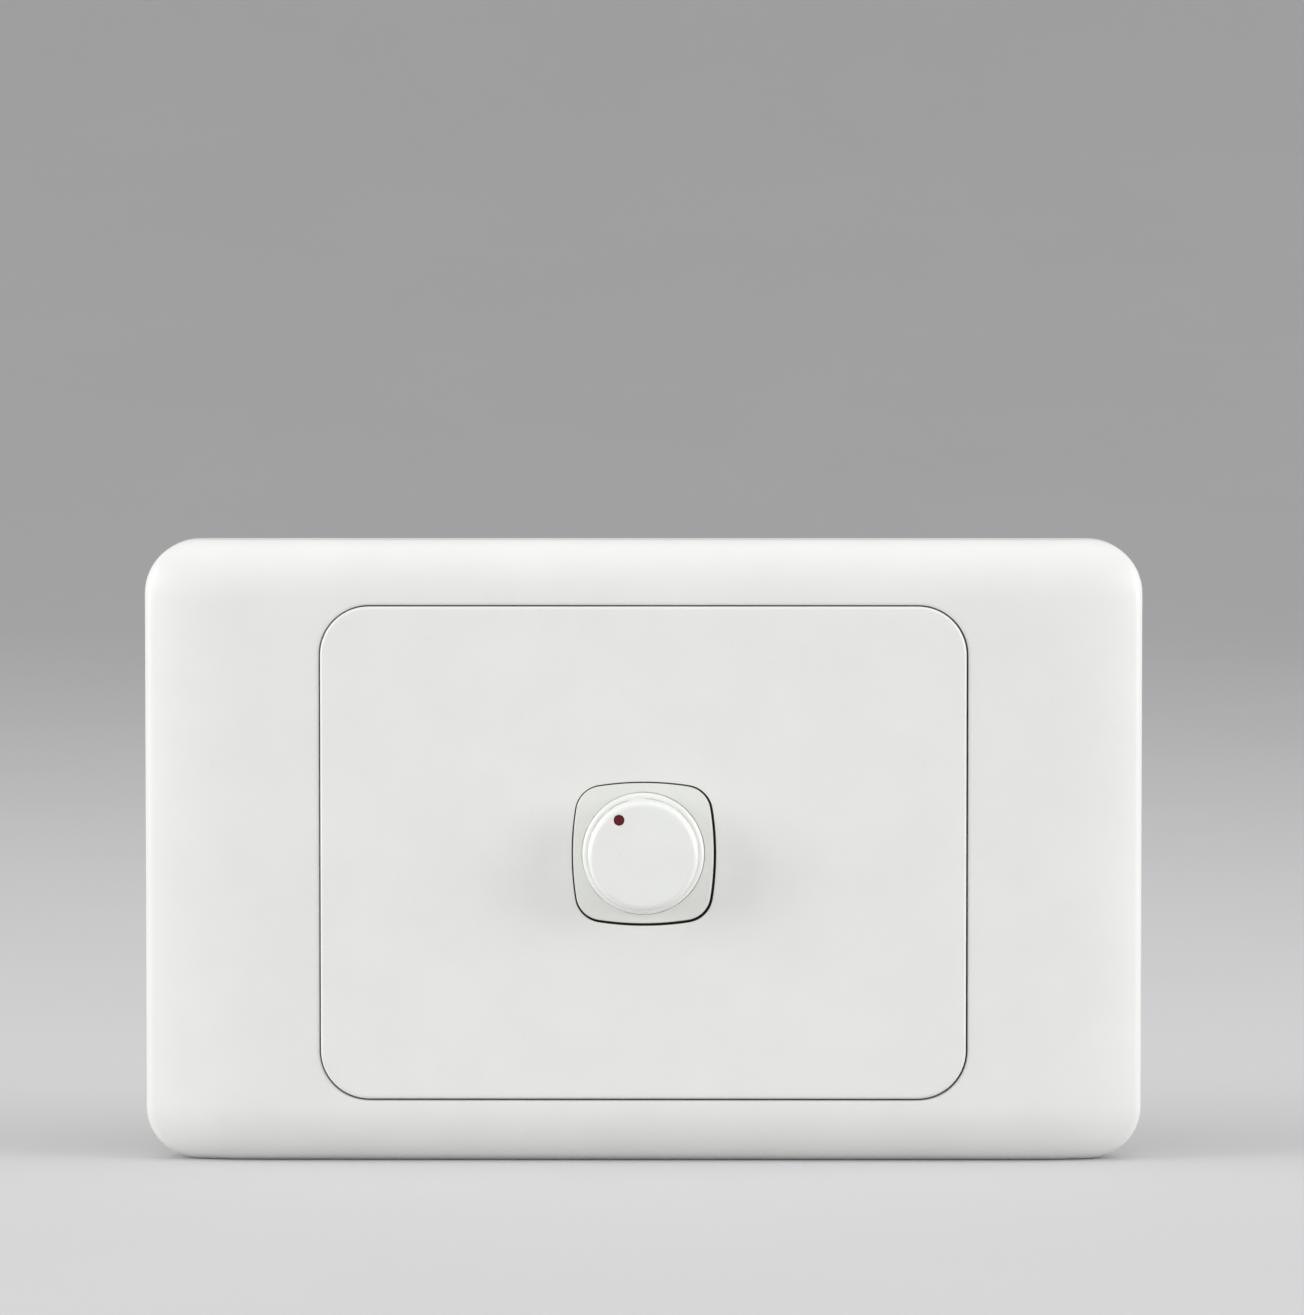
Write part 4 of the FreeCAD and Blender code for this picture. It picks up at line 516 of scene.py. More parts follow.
def lead(x, y, low, high, into):
    """A round tinned leg: up from the board, then round a quarter circle and along y into the body.
    At the angle a of the bend the line is (0, bend (1 - cos a), high - bend + bend sin a), and
    the way out from it (0, -cos a, sin a)."""
    bend, wire = 0.55, 0.28
    turn = np.radians(np.linspace(0, 90, 7))
    way = math.copysign(1, into)
    up = np.column_stack([0 * turn, way * bend * (1 - np.cos(turn)), high - bend + bend * np.sin(turn)])
    middles = np.vstack([[0, 0, low], up, [0, into, high]]) + [x, y, 0]
    slope = np.concatenate([[0], turn, [math.pi / 2]])
    over = np.column_stack([0 * slope, -way * np.cos(slope), np.sin(slope)])
    side = np.tile([1.0, 0.0, 0.0], (len(slope), 1))
    return carried(middles, over, side, round_outline(wire, count=12))


def softened(node, width, redraw=None):
    """A copy of a sub-part's own mesh with eased edges: its doubles are merged, its flat neighbours
    joined, and each edge sharper than SOLID_CREASE gets a rounded bevel of width millimetres,
    whose strips are marked for wear. redraw may move the copy's points first."""
    mesh = frame["nodes"][node].data.copy()
    mesh.materials.clear()
    work = bmesh.new()
    work.from_mesh(mesh)
    bmesh.ops.remove_doubles(work, verts=work.verts, dist=2e-6)
    bmesh.ops.dissolve_limit(work, angle_limit=math.radians(1.0), verts=work.verts, edges=work.edges)
    work.to_mesh(mesh)
    work.free()
    if redraw:
        places = np.empty(len(mesh.vertices) * 3)
        mesh.vertices.foreach_get("co", places)
        mesh.vertices.foreach_set("co", redraw(places.reshape(-1, 3) * 1000).ravel() * 0.001)
        mesh.update()
    mesh.polygons.foreach_set("use_smooth", np.ones(len(mesh.polygons), bool))
    mesh.set_sharp_from_angle(angle=SOLID_CREASE)
    piece = bpy.data.objects.new(node + "_part", mesh)
    bpy.context.scene.collection.objects.link(piece)
    # The bevel's strips take the second of two empty slots, by which they are found again.
    for _ in range(2):
        mesh.materials.append(None)
    bevel = piece.modifiers.new("eased edges", "BEVEL")
    bevel.limit_method = "ANGLE"
    bevel.angle_limit = SOLID_CREASE
    bevel.width = width * 0.001
    bevel.segments = 2
    bevel.harden_normals = True
    bevel.material = 1
    made = bpy.data.meshes.new_from_object(piece.evaluated_get(bpy.context.evaluated_depsgraph_get()))
    piece.modifiers.clear()
    piece.data = made
    strip = read(made.polygons, "material_index", np.int32)
    marks = np.repeat(strip * BEVEL_MARK, read(made.polygons, "loop_total", np.int32))
    made.attributes.new("edge", "FLOAT", "CORNER").data.foreach_set("value", marks)
    made.polygons.foreach_set("material_index", np.zeros(len(strip), np.int32))
    return piece


# Finishes.


class Signal:
    """A node's output that can be reckoned with: each operator adds a Math node."""

    def __init__(self, nodes, socket):
        self.nodes = nodes
        self.socket = socket

    def math(self, operation, *others):
        return self.nodes.add("ShaderNodeMath", {"operation": operation}, [self, *others])

    def __add__(self, other):
        return self.math("ADD", other)

    __radd__ = __add__

    def __mul__(self, other):
        return self.math("MULTIPLY", other)

    __rmul__ = __mul__

    def __sub__(self, other):
        return self.math("SUBTRACT", other)

    def __rsub__(self, other):
        return self.nodes.add("ShaderNodeMath", {"operation": "SUBTRACT"}, [other, self])

    def __pow__(self, other):
        return self.math("POWER", other)

    def clipped(self):
        return self.nodes.add("ShaderNodeClamp", {}, [self])

    def between(self, low, high):
        """0 below low, 1 above high, and smooth between them."""
        sockets = {"Value": self, "From Min": low, "From Max": high}
        return self.nodes.add("ShaderNodeMapRange", {"interpolation_type": "SMOOTHSTEP"}, sockets)


class Finish:
    """A material and its nodes, with the object's own coordinates in metres."""

    def __init__(self, name):
        self.material = bpy.data.materials.new(name)
        self.material.use_nodes = True
        self.tree = self.material.node_tree
        self.shader = self.tree.nodes["Principled BSDF"]
        self.place = self.add("ShaderNodeTexCoord", {}, {}, "Object")

    def add(self, kind, settings, sockets, output=0):
        """Add a node, make its settings, then fill its sockets with values or links, by order or by
        name."""
        node = self.tree.nodes.new(kind)
        for key, value in settings.items():
            setattr(node, key, value)
        pairs = sockets.items() if isinstance(sockets, dict) else enumerate(sockets)
        for key, value in pairs:
            self.fill(node.inputs[key], value)
        return Signal(self, node.outputs[output])

    def fill(self, socket, value):
        """Link a signal to a socket, or set the socket to a number, a vector or a colour."""
        if isinstance(value, Signal):
            self.tree.links.new(value.socket, socket)
        elif socket.type == "RGBA" and len(value) == 3:
            socket.default_value = (*value, 1)
        else:
            socket.default_value = value

    def noise(self, size, detail=2.0, roughness=0.5, at=None):
        """Noise whose grain is about size millimetres."""
        sockets = {"Vector": at or self.place, "Scale": 1000.0 / size}
        return self.add("ShaderNodeTexNoise", {}, sockets | {"Detail": detail, "Roughness": roughness})

    def stretched(self, x, y, z):
        """The object's coordinates with each axis stretched."""
        return self.add("ShaderNodeVectorMath", {"operation": "MULTIPLY"}, [self.place, (x, y, z)])

    def axes(self):
        """The object's three coordinates in metres, one signal each."""
        split = self.add("ShaderNodeSeparateXYZ", {}, [self.place])
        node = split.socket.node
        return [Signal(self, node.outputs[i]) for i in range(3)]

    def edge(self):
        """How sharply the surface bends: above 0 on outward edges, below 0 in inward corners."""
        return self.add("ShaderNodeAttribute", {"attribute_name": "edge"}, {}, "Fac")

    def from_axis(self, x=0.0):
        """The distance in millimetres from the axis that runs front to back at x on either side."""
        across, _, up = self.axes()
        away = across.math("ABSOLUTE") * 1000.0 - x
        return (away * away + (up * 1000.0) ** 2.0) ** 0.5

    def mixed(self, share, low, high):
        """One colour fading to another."""
        return self.add("ShaderNodeMix", {"data_type": "RGBA"}, {0: share, 6: low, 7: high}, 2)

    def bump(self, height, depth, before=None):
        """The normal over a relief whose full height is depth millimetres, on top of another."""
        sockets = {"Height": height, "Distance": depth * 0.001}
        if before is not None:
            sockets["Normal"] = before
        return self.add("ShaderNodeBump", {}, sockets)

    def set(self, **values):
        """Fill the shader's own sockets: base_color is Base Color, and so on."""
        for key, value in values.items():
            name = " ".join(word if word == "of" else word.capitalize() for word in key.split("_"))
            self.fill(self.shader.inputs[name.replace("Ior", "IOR")], value)
        return self.material


def shade(colour, factor):
    """A colour made darker or lighter."""
    return tuple(min(1.0, c * factor) for c in colour)


def seam_painted_shade(f):
    """Painted shade deep in the gap between the window and the module's front, and a little in the
    well, in patches."""
    depth = f.axes()[1] * 1000.0
    radius = f.from_axis()
    gap = depth.between(-9.44, -9.1) * (1 - radius.between(11.0, 11.5)) * radius.between(7.6, 7.8)
    well = (1 - radius.between(7.1, 7.3)) * f.noise(3.0, 2.0).between(0.45, 0.65)
    return (gap + well * 0.22).clipped()


def thread_root_painted_shade(f):
    """Painted shade in the root of the wall screws' threads, behind the wall face."""
    return (1 - f.from_axis(FIXING_X).between(1.42, 1.68)) * 0.8


def pin_marks(f):
    """The rings that the tool's four pins leave on the flange, deepest at their edge."""
    across, _, up = f.axes()
    away = across.math("ABSOLUTE") * 1000.0 - 47.5
    over = up.math("ABSOLUTE") * 1000.0 - 22.0
    radius = (away * away + over * over) ** 0.5
    return radius.between(2.3, 2.4) - radius.between(2.4, 2.5)


def moulded(name, colour, roughness=0.34, grain=0.004, coat=0.0, shine=0.5, painted_shade_mask=None, marks=None):
    """Moulded plastic: a faint cloud in the colour, a soft unevenness from the tool, a fine spark
    grain in the gloss, a few small specks of dust, edges rubbed smooth and scuffed in places,
    and painted shade in the inward corners and wherever the given shade mask says. marks is a relief of
    its own."""
    f = Finish(name)
    edge = f.edge()
    patch = f.noise(2.2, 3.0, 0.65)
    rubbed = edge.between(0.25, 0.8) * patch.between(0.42, 0.62)
    # Painted shade: the colour darkened in the inward corners, in patches, and wherever the given shade
    # mask says.
    painted_shade = (edge * -1).between(0.2, 0.9) * patch.between(0.3, 0.6) * 0.35
    if painted_shade_mask:
        painted_shade = (painted_shade + painted_shade_mask(f)).clipped()
    cloud = f.noise(9.0, 3.0, 0.55)
    fine = f.noise(0.35, 2.0, 0.6)
    wave = f.noise(5.0, 1.0, 0.4)
    speck = f.noise(0.9, 1.0, 0.5).between(0.735, 0.77)
    tone = f.mixed(cloud.between(0.3, 0.7), shade(colour, 0.985), shade(colour, 1.01))
    tone = f.mixed(speck * 0.06, tone, shade(colour, 0.72))
    tone = f.mixed(rubbed * 0.16, tone, shade(colour, 0.80))
    # The painted shade darkens the colour here.
    tone = f.mixed(painted_shade, tone, tuple(c * share for c, share in zip(colour, PAINTED_SHADE_SHARES)))
    rough = (fine - 0.5) * 0.10 + (cloud - 0.5) * 0.08 + speck * 0.2 + painted_shade * 0.3 - rubbed * 0.10
    relief = f.bump(wave, 0.012)
    if marks:
        relief = f.bump(marks(f), 0.03, relief)
    f.set(base_color=tone, roughness=rough + roughness, normal=f.bump(fine, grain, relief))
    return f.set(coat_weight=coat, specular_ior_level=shine, ior=1.5)


def metal(name, colour, roughness, along=(1, 1, 1), painted_shade_mask=None):
    """Drawn or turned metal: fine lines along the way it was worked, a light tarnish in patches,
    edges rubbed bright, and painted shade wherever the given shade mask says."""
    f = Finish(name)
    lines = f.noise(0.25, 2.0, 0.6, at=f.stretched(*along))
    patch = f.noise(2.5, 3.0, 0.6).between(0.42, 0.68)
    rubbed = f.edge().between(0.3, 0.8) * f.noise(0.8, 2.0).between(0.35, 0.6)
    tone = f.mixed(lines.between(0.3, 0.7), shade(colour, 0.88), shade(colour, 1.06))
    tone = f.mixed(patch * 0.4, tone, shade(colour, 0.55))
    tone = f.mixed(rubbed * 0.6, tone, shade(colour, 1.35))
    rough = (lines - 0.5) * 0.18 + patch * 0.15 - rubbed * 0.08 + roughness
    if painted_shade_mask:
        # Painted shade: the colour darkened where the shade mask says.
        painted_shade = painted_shade_mask(f)
        tone = f.mixed(painted_shade, tone, PAINTED_SHADE)
        rough = rough + painted_shade * 0.3
    return f.set(base_color=tone, metallic=1.0, roughness=rough, normal=f.bump(lines, 0.004))


def laminate(name, colour):
    """Resin board: a criss-cross of threads half a millimetre wide under a thin glossy skin."""
    f = Finish(name)
    along = f.noise(0.5, 1.0, at=f.stretched(1.0, 1.0, 0.06))
    across = f.noise(0.5, 1.0, at=f.stretched(0.06, 1.0, 1.0))
    cloud = f.noise(4.0, 2.0)
    weft = (along + across) * 0.5
    tone = f.mixed(weft.between(0.35, 0.65), shade(colour, 0.82), shade(colour, 1.12))
    tone = f.mixed(cloud.between(0.4, 0.8) * 0.3, tone, shade(colour, 0.7))
    f.set(base_color=tone, roughness=weft * 0.2 + 0.32, normal=f.bump(weft, 0.01))
    return f.set(coat_weight=0.25)


def two_part(name, first, second, roughness, above, below=None):
    """Two finishes on one piece: the second, a metal, lies above one height in millimetres, and
    where it is given also below another."""
    f = Finish(name)
    up = f.axes()[2] * 1000.0
    share = up.between(above - 0.02, above + 0.02)
    if below is not None:
        share = share + up.between(below + 0.02, below - 0.02)
    grain = f.noise(0.5, 2.0, 0.6)
    body = f.mixed(grain, shade(first, 0.88), shade(first, 1.1))
    tip = f.mixed(grain, shade(second, 0.85), shade(second, 1.05))
    f.set(base_color=f.mixed(share, body, tip), metallic=share)
    return f.set(roughness=(grain - 0.5) * 0.2 + roughness, normal=f.bump(grain, 0.006))


def banded(name, ground, bands, places, left, right):
    """A glossy enamelled body with painted rings 0.35 mm wide: each has a colour and a place along
    the body, whose middle is at the height left or right on that side of the module."""
    f = Finish(name)
    half_width, blur = 0.175, 0.03
    across, _, up = f.axes()
    middle = across.math("GREATER_THAN", 0.0) * (right - left) + left
    along = up * 1000.0 - middle
    cloud = f.noise(1.2, 2.0)
    tone = f.mixed(cloud.between(0.3, 0.7), shade(ground, 0.9), shade(ground, 1.06))
    for colour, place in zip(bands, places):
        low, high = place - half_width, place + half_width
        inside = along.between(low - blur, low) - along.between(high, high + blur)
        tone = f.mixed(inside, tone, colour)
    f.set(base_color=tone, roughness=cloud * 0.15 + 0.25, normal=f.bump(cloud, 0.02))
    return f.set(coat_weight=0.4)


def tracked(name, colour, copper):
    """The circuit board: the resin's weave, and on the rear face copper tracks under green lacquer,
    drawn by the borders of cells in a plane, with small rounds of solder among them."""
    f = Finish(name)
    weave = f.noise(0.45, 1.0, at=f.stretched(1.0, 1.0, 0.1))
    flat = f.stretched(1, 0.0001, 1)
    rear = (f.axes()[1] * 1000.0).between(-BOARD_REAR - 0.12, -BOARD_REAR - 0.05)
    cells = {"Vector": flat, "Scale": 210.0, "Randomness": 0.25}
    border = f.add("ShaderNodeTexVoronoi", {"feature": "DISTANCE_TO_EDGE"}, cells)
    cells = {"Vector": flat, "Scale": 300.0, "Randomness": 0.7}
    pads = f.add("ShaderNodeTexVoronoi", {"feature": "F1"}, cells)
    track = (1 - border.between(0.075, 0.09)) * rear
    solder = (1 - pads.between(0.16, 0.2)) * rear
    tone = f.mixed(weave.between(0.3, 0.7), shade(colour, 0.85), shade(colour, 1.1))
    tone = f.mixed(track * 0.7, tone, copper)
    tone = f.mixed(solder, tone, SOLDER)
    f.set(base_color=tone, metallic=solder, roughness=weave * 0.2 + 0.3)
    return f.set(normal=f.bump(track + solder, 0.03), coat_weight=0.2)


def wound(name, colour, pitch):
    """Enamelled copper wire in close turns up the rod: a rounded ridge for each turn of pitch
    millimetres, with painted shade between them."""
    f = Finish(name)
    phase = f.axes()[2] * (1000.0 / pitch)
    turn = f.add("ShaderNodeMath", {"operation": "PINGPONG"}, [phase, 0.5]) * 2.0
    patch = f.noise(1.5, 2.0)
    # Painted shade in the grooves between the turns.
    tone = f.mixed(turn.between(0.05, 0.6), shade(colour, 0.35), colour)
    tone = f.mixed(patch * 0.4, tone, shade(colour, 0.7))
    f.set(base_color=tone, metallic=0.85, roughness=patch * 0.2 + 0.2)
    return f.set(normal=f.bump(turn, 0.05), coat_weight=0.6)


# Colours, linear from 0 to 1. The shares of painted shade darken a plastic's own colour.

WHITE = (0.775, 0.780, 0.755)
BRASS = (0.80, 0.62, 0.30)
NICKEL = (0.70, 0.67, 0.61)
STEEL = (0.44, 0.43, 0.41)
TIN = (0.68, 0.68, 0.66)
SOLDER = (0.62, 0.62, 0.60)
EPOXY = (0.02, 0.02, 0.021)
TAB = (0.66, 0.66, 0.65)
# The dark colour of painted shade on metal, and the shares by which painted shade darkens a plastic.
PAINTED_SHADE = (0.05, 0.045, 0.035)
PAINTED_SHADE_SHARES = (0.16, 0.13, 0.10)
RINGS = [(0.25, 0.12, 0.04), (0.02, 0.02, 0.02), (0.45, 0.10, 0.02), (0.5, 0.36, 0.08)]

finishes = {
    "surround": moulded("cover_white", WHITE),
    # The panel and the module's front take painted shade in the seam between them.
    "grid_plate": moulded("panel_white", (0.785, 0.785, 0.765), painted_shade_mask=seam_painted_shade, marks=pin_marks),
    "module_bezel": moulded("bezel_white", (0.755, 0.765, 0.725), painted_shade_mask=seam_painted_shade),
    "module_case": moulded("case_grey_white", (0.66, 0.66, 0.63), 0.48, 0.012),
    "knob": moulded("knob_white", (0.80, 0.81, 0.785), 0.30),
    "indicator_dot": moulded("dot_red", (0.118, 0.0075, 0.0125), 0.5, shine=0.2),
    # The wall screws take painted shade in their threads' root.
    "fixing_screws": metal("wall_screw_zinc", (0.50, 0.48, 0.42), 0.28, (1, 0.2, 1), painted_shade_mask=thread_root_painted_shade),
    "case_screws": metal("case_screw_steel", STEEL, 0.32),
    "terminal_screws": metal("terminal_screw_zinc", (0.62, 0.60, 0.54), 0.3),
    "triac_screw": metal("tie_screw_zinc", (0.60, 0.59, 0.57), 0.3),
    "knob_clip": metal("spring_band_steel", (0.42, 0.43, 0.46), 0.25, (1, 0.1, 1)),
    "pot_shaft": metal("shaft_nickel", NICKEL, 0.22, (1, 0.15, 1)),
    "pot_bushing": metal("bushing_nickel", NICKEL, 0.26, (0.3, 1, 0.3)),
    "pot_washer": metal("washer_zinc", (0.62, 0.61, 0.60), 0.35, (1, 1, 0.1)),
    "pot_nut": metal("nut_nickel", shade(NICKEL, 1.05), 0.24, (1, 0.2, 1)),
    "pot_can": metal("can_tinplate", TIN, 0.3, (1, 0.1, 1)),
    "track_wafer": laminate("wafer_brown_laminate", (0.17, 0.085, 0.035)),
    "pot_terminals": metal("control_pins_tinned", TIN, 0.3, (1, 0.2, 1)),
    "wiper_rotor": moulded("rotor_ivory", (0.66, 0.62, 0.50), 0.42, 0.01),
    "wiper_brush": metal("brush_bronze", (0.72, 0.45, 0.24), 0.25, (1, 1, 0.1)),
    "switch_case": moulded("switch_black", (0.022, 0.022, 0.024), 0.42, 0.012),
    "fixed_contacts": metal("contact_brass", BRASS, 0.24, (1, 0.2, 1)),
    "switch_plunger": moulded("plunger_rust_red", (0.30, 0.045, 0.03), 0.4, 0.01),
    "moving_contact": metal("bridge_brass", (0.82, 0.66, 0.36), 0.22, (0.1, 1, 1)),
    "return_spring": metal("spring_wire_steel", (0.50, 0.50, 0.50), 0.22),
    "circuit_board": tracked("board_green", (0.03, 0.11, 0.04), (0.16, 0.22, 0.06)),
    "heat_sink": metal("heat_sink_aluminium", (0.76, 0.77, 0.78), 0.34, (0.08, 1, 1)),
    "triac": two_part("power_switch_epoxy_and_tab", EPOXY, TAB, 0.38, 8.4),
    "choke_core": moulded("core_dark_iron", (0.035, 0.034, 0.034), 0.55, 0.02),
    "choke_winding": wound("winding_copper", (0.62, 0.22, 0.07), 0.42),
    "film_capacitor": moulded("film_block_yellow", (0.62, 0.44, 0.05), 0.34, 0.006, 0.3),
    "timing_capacitor": moulded("timing_block_green", (0.05, 0.20, 0.12), 0.3, 0.006, 0.3),
    "fuse": two_part("fuse_ceramic_and_caps", (0.70, 0.69, 0.64), (0.66, 0.63, 0.55), 0.3, 4.4, -4.4),
    "diac": banded("diode_blue", (0.04, 0.12, 0.28), [(0.01, 0.01, 0.01)], [0.9], 1.9, 1.9),
    "resistors": banded("resistor_tan", (0.52, 0.38, 0.22), RINGS, [1.3, 0.6, -0.1, -1.2], -1.55, -5.0),
    "terminal_line": metal("line_terminal_brass", BRASS, 0.25, (1, 0.2, 1)),
    "terminal_loop": metal("loop_terminal_brass", shade(BRASS, 0.97), 0.27, (1, 0.2, 1)),
    "terminal_load": metal("load_terminal_brass", shade(BRASS, 1.03), 0.24, (1, 0.2, 1)),
}

LEAD_FINISH = metal("leads_tinned", SOLDER, 0.28)

# Pieces. Bodies that show at a seam are drawn afresh; the rest are the solids with eased edges.


def narrowed(points, middle, share, shank):
    """Points along the part's own axes, in millimetres. Those that shank picks by their distance
    from the axis through middle on their own side, and by their depth behind the wall, come
    nearer to that axis, to share of that distance."""
    axis = np.sign(points[:, :1]) * middle
    away = points[:, [0, 2]] - axis
    picked = shank(np.hypot(away[:, 0], away[:, 1]), points[:, 1])
    x, z = (axis + away * np.where(picked, share, 1.0)[:, None]).T
    return np.column_stack([x, points[:, 1], z])


def wall_screws():
    """The two wall screws: the solid's own head and neck, its shank drawn in to the root of the
    thread, and the thread's ridge."""
    root, crest, neck = 1.42, 1.75, 1.55

    def shank(away, deep):
        return (deep > -0.001) & (away > neck)

    def drawn_in(points):
        return narrowed(points, (FIXING_X, 0), root / crest, shank)

    piece = softened("fixing_screws", 0.08, redraw=drawn_in)
    ridges = [thread(1.4, crest, 0.7, -21.6, 0.0, (x, 0)) for x in (-FIXING_X, FIXING_X)]
    return [piece, mesh_piece("wall_screw_thread", ridges)]


def bushing():
    """The bushing: its square flange, the barrel drawn in to the root of its thread, and the ridge."""
    root, crest, low, high = 3.32, 3.5, 4.95, 8.45

    def barrel(away, deep):
        return (away > crest - 0.1) & (away < crest + 0.1) & (deep < 0.05 - low)

    def drawn_in(points):
        return narrowed(points, (0, 0), root / crest, barrel)

    piece = softened("pot_bushing", 0.06, redraw=drawn_in)
    return [piece, mesh_piece("bushing_thread", [thread(3.3, 3.48, 0.5, low, high, (0, 0))])]


def case_screws():
    """The two case screws: the solids' own heads, their shanks drawn in to the root of the thread,
    and the coarse ridge that cuts into the posts."""
    root, crest, rear, tip = 0.9, 1.1, -21.7, -6.2

    def shank(away, deep):
        return (away < crest + 0.1) & (deep < 0.05 - rear)

    def drawn_in(points):
        return narrowed(points, POST, root / crest, shank)

    places = [(POST[0] * side, POST[1] * side) for side in (-1, 1)]
    ridges = [thread(0.88, crest, 0.8, -16.0, tip, place) for place in places]
    return [softened("case_screws", 0.1, redraw=drawn_in), mesh_piece("case_screw_thread", ridges)]


# The pieces that wear the tinned finish instead of their sub-part's own.
LEADS = []


def tinned(piece):
    """Add a piece to LEADS."""
    LEADS.append(piece)
    return piece


def fuse():
    """The cartridge fuse: a tube with a cap at each end, a shallow step at each cap and two legs."""
    r, half, cap, x = 1.9, 7.0, 4.4, -12.2
    height = SWITCH_REAR + r + LEG_ROOM
    end = [(0, -half), (r - 0.25, -half), (r, -half + 0.25), (r, -cap - 0.05), (r - 0.1, -cap)]
    body = turned_shell(end + [(a, -b) for a, b in reversed(end)], 40)
    legs = [lead(x, 7.7 * side, SWITCH_REAR, height, -side) for side in (-1, 1)]
    tube = mesh_piece("cartridge_fuse", [lying(body, x, height)])
    return [tube, tinned(mesh_piece("fuse_leads", legs))]


def waisted(radius, half):
    """A small resistor or diode body: rounded ends slightly fuller than the middle."""
    rows = [(0, -half), (radius * 0.55, -half), (radius * 0.85, -half + 0.12), (radius, -half + 0.4)]
    rows += [(radius, -half + 1.0), (radius * 0.88, -half + 1.35)]
    return rows + [(a, -b) for a, b in reversed(rows)]


def small_parts(name, places, radius, half):
    """Small bodies lying on two legs each, at the (x, y) places."""
    height = SWITCH_REAR + radius + LEG_ROOM
    bodies, legs = [], []
    for x, y in places:
        points, tables = lying(turned_shell(waisted(radius, half), 28), x, height)
        bodies.append((points + [0, y, 0], tables))
        legs += [lead(x, y + side * (half + 0.3), SWITCH_REAR, height, -0.6 * side) for side in (-1, 1)]
    return [mesh_piece(name, bodies), tinned(mesh_piece(name + "_leads", legs))]


def winding():
    """The choke's winding: one rounded ridge after another along the rod. At the step i of eight to
    a turn its radius is the valley's plus the ridge's height times |sin(pi i / 8)|."""
    inner, outer, half, turns, steps = 1.53, 2.6, 3.6, 17, 8
    x, y = 8.4, 3.1
    step = np.arange(turns * steps + 1)
    ridge = outer - 0.2 + 0.19 * np.abs(np.sin(math.pi * step / steps))
    along = -half + 2 * half * step / (turns * steps)
    ends = [(inner, half), (outer - 0.25, half)]
    profile = [(r, -z) for r, z in ends] + list(zip(ridge, along)) + ends[::-1]
    points, tables = lying(skin(turned_loops(profile, 40)), x, BOARD_REAR - outer)
    return [mesh_piece("copper_winding", [(points + [0, y, 0], tables)])]


drawn = {
    "surround": [mesh_piece("cover_shell", cover())],
    "grid_plate": [mesh_piece("grid_and_panel", plate())],
    "module_bezel": [mesh_piece("module_front", bezel())],
    "knob": [mesh_piece("turned_knob", knob())],
    "indicator_dot": [mesh_piece("dot_insert", dot())],
    "fixing_screws": wall_screws(),
    "pot_bushing": bushing(),
    "case_screws": case_screws(),
    "return_spring": [mesh_piece("coil_spring", [coil(*SPRING)])],
    "choke_winding": winding(),
    "fuse": fuse(),
    "resistors": small_parts("two_resistors", [(18.2, -5.0), (-17.4, -1.55)], 1.1, 2.5),
    "diac": small_parts("trigger_diode", [(18.2, 1.9)], 0.9, 1.9),
}

# The solids that keep their own shape, and their bevels in millimetres.
EASED = {
    "module_case": 0.35, "circuit_board": 0.08, "heat_sink": 0.25, "film_capacitor": 0.45,
    "timing_capacitor": 0.6, "switch_case": 0.25, "triac": 0.15, "triac_screw": 0.12,
    "terminal_line": 0.2, "terminal_loop": 0.2, "terminal_load": 0.2, "terminal_screws": 0.12,
    "pot_can": 0.2, "track_wafer": 0.1, "pot_nut": 0.15, "pot_washer": 0.06, "wiper_rotor": 0.2,
    "wiper_brush": 0.05, "pot_shaft": 0.08, "switch_plunger": 0.1, "moving_contact": 0.06,
    "fixed_contacts": 0.08, "choke_core": 0.15, "knob_clip": 0.05, "pot_terminals": 0.08,
}

for node, width in EASED.items():
    drawn[node] = [softened(node, width)]

BODY = {node: body for body, nodes in frame["record"]["behaviour"]["bodies"].items() for node in nodes}

for node, pieces in drawn.items():
    for piece in pieces:
        piece.data.materials.clear()
        piece.data.materials.append(LEAD_FINISH if piece in LEADS else finishes[node])
        if node == "return_spring":
            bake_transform(piece)
        else:
            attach(piece, BODY.get(node, "plate"))
        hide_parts(node)


# The studio: a wide pale dish, a soft sky, and four soft lamps.

FLOOR = -36.2
FLOOR_FLAT, FLOOR_RIM, WALL_RISE = 1200, 3200, 1800
FLOOR_TONES = ((0.627, 0.627, 0.632), (0.635, 0.635, 0.64))
SKY_TONE, SKY_STRENGTH = (0.9, 0.9, 0.9), 0.64

# Each lamp's place and size in metres, its power in watts and its beam's width in degrees.
LAMPS = {
    "overhead lamp": ((0, -0.12, 1.0), (1.6, 0.8), 3.0, 180.0),
    "left lamp": ((-1.15, -0.32, 0.25), (0.8, 1.0), 3.15, 80.0),
    "right lamp": ((1.15, -0.32, 0.25), (0.8, 1.0), 3.05, 80.0),
    "low front lamp": ((0.0, -1.1, 0.10), (1.6, 0.26), 1.5, 180.0),
}


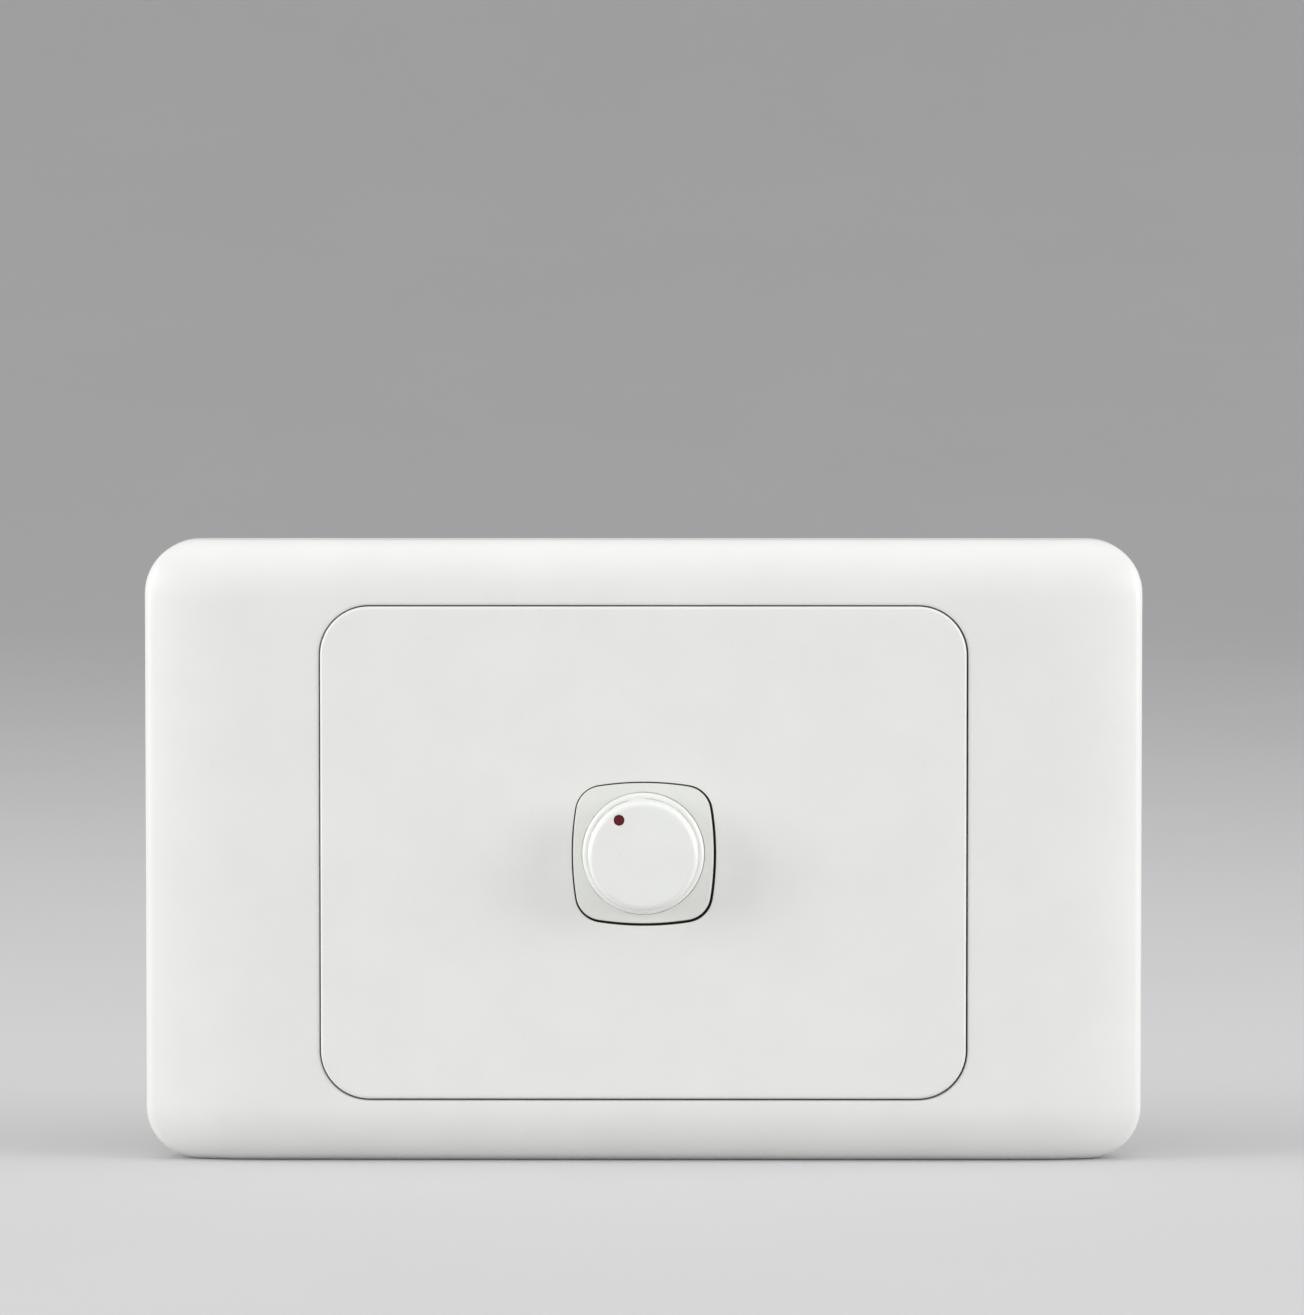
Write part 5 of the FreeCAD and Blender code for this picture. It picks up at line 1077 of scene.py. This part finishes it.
def dish():
    """The floor: flat near the part, then rising smoothly to a low wall all round it. Past the flat
    its height is the rise times the square of the share of the way to the rim."""
    rising = np.linspace(FLOOR_FLAT + 100, FLOOR_RIM, 30)
    radius = np.concatenate([np.linspace(1, FLOOR_FLAT, 12), rising])
    beyond = np.maximum(0.0, radius - FLOOR_FLAT) / (FLOOR_RIM - FLOOR_FLAT)
    profile = np.column_stack([radius, FLOOR + beyond * beyond * WALL_RISE])
    points, tables = skin(np.stack(turned_loops(profile, 96))[..., [0, 2, 1]], ring=False)
    return [(points, tables[:2])]


floor = mesh_piece("studio_floor", dish())
floor_finish = Finish("floor_pale")
floor_tone = floor_finish.mixed(floor_finish.noise(60.0, 3.0).between(0.3, 0.7), *FLOOR_TONES)
floor_finish.set(base_color=floor_tone, roughness=0.9, specular_ior_level=0.1)
floor.data.materials.append(floor_finish.material)


def placed(name, data, place, aim):
    """A lamp or camera at a place in metres, turned to look at aim."""
    item = bpy.data.objects.new(name, data)
    bpy.context.scene.collection.objects.link(item)
    item.location = place
    item.rotation_mode = "QUATERNION"
    item.rotation_quaternion = (Vector(aim) - Vector(place)).to_track_quat("-Z", "Y")
    return item


for name, (place, size, power, spread) in LAMPS.items():
    light = bpy.data.lights.new(name, "AREA")
    light.shape = "RECTANGLE"
    light.size, light.size_y = size
    light.energy = power
    light.spread = math.radians(spread)
    placed(name, light, place, (0, 0, 0))

sky = bpy.data.worlds.new("soft sky")
sky.use_nodes = True
background = sky.node_tree.nodes["Background"]
background.inputs["Color"].default_value = (*SKY_TONE, 1)
background.inputs["Strength"].default_value = SKY_STRENGTH
bpy.context.scene.world = sky

# The camera, at the photograph's angle, with lens and sensor in millimetres. It aims above the
# part's middle, which stands low in the photograph.

DISTANCE = 0.9
AZIMUTH = math.radians(0.34)
ELEVATION = math.radians(4.64)
LENS, SENSOR = 211.6, 36.0
MIDDLE = Vector((0.0, -0.006, 0.0))
AIM = MIDDLE + Vector((0.000995, 0.0, 0.022537))

out, up = math.cos(ELEVATION), math.sin(ELEVATION)
back = Vector((math.sin(AZIMUTH) * out, -math.cos(AZIMUTH) * out, up))
camera = placed("camera", bpy.data.cameras.new("camera"), MIDDLE + back * DISTANCE, AIM)
camera.data.lens = LENS
camera.data.sensor_width = SENSOR
camera.data.clip_start = 0.05
bpy.context.scene.camera = camera
bpy.context.scene.view_settings.view_transform = "Standard"
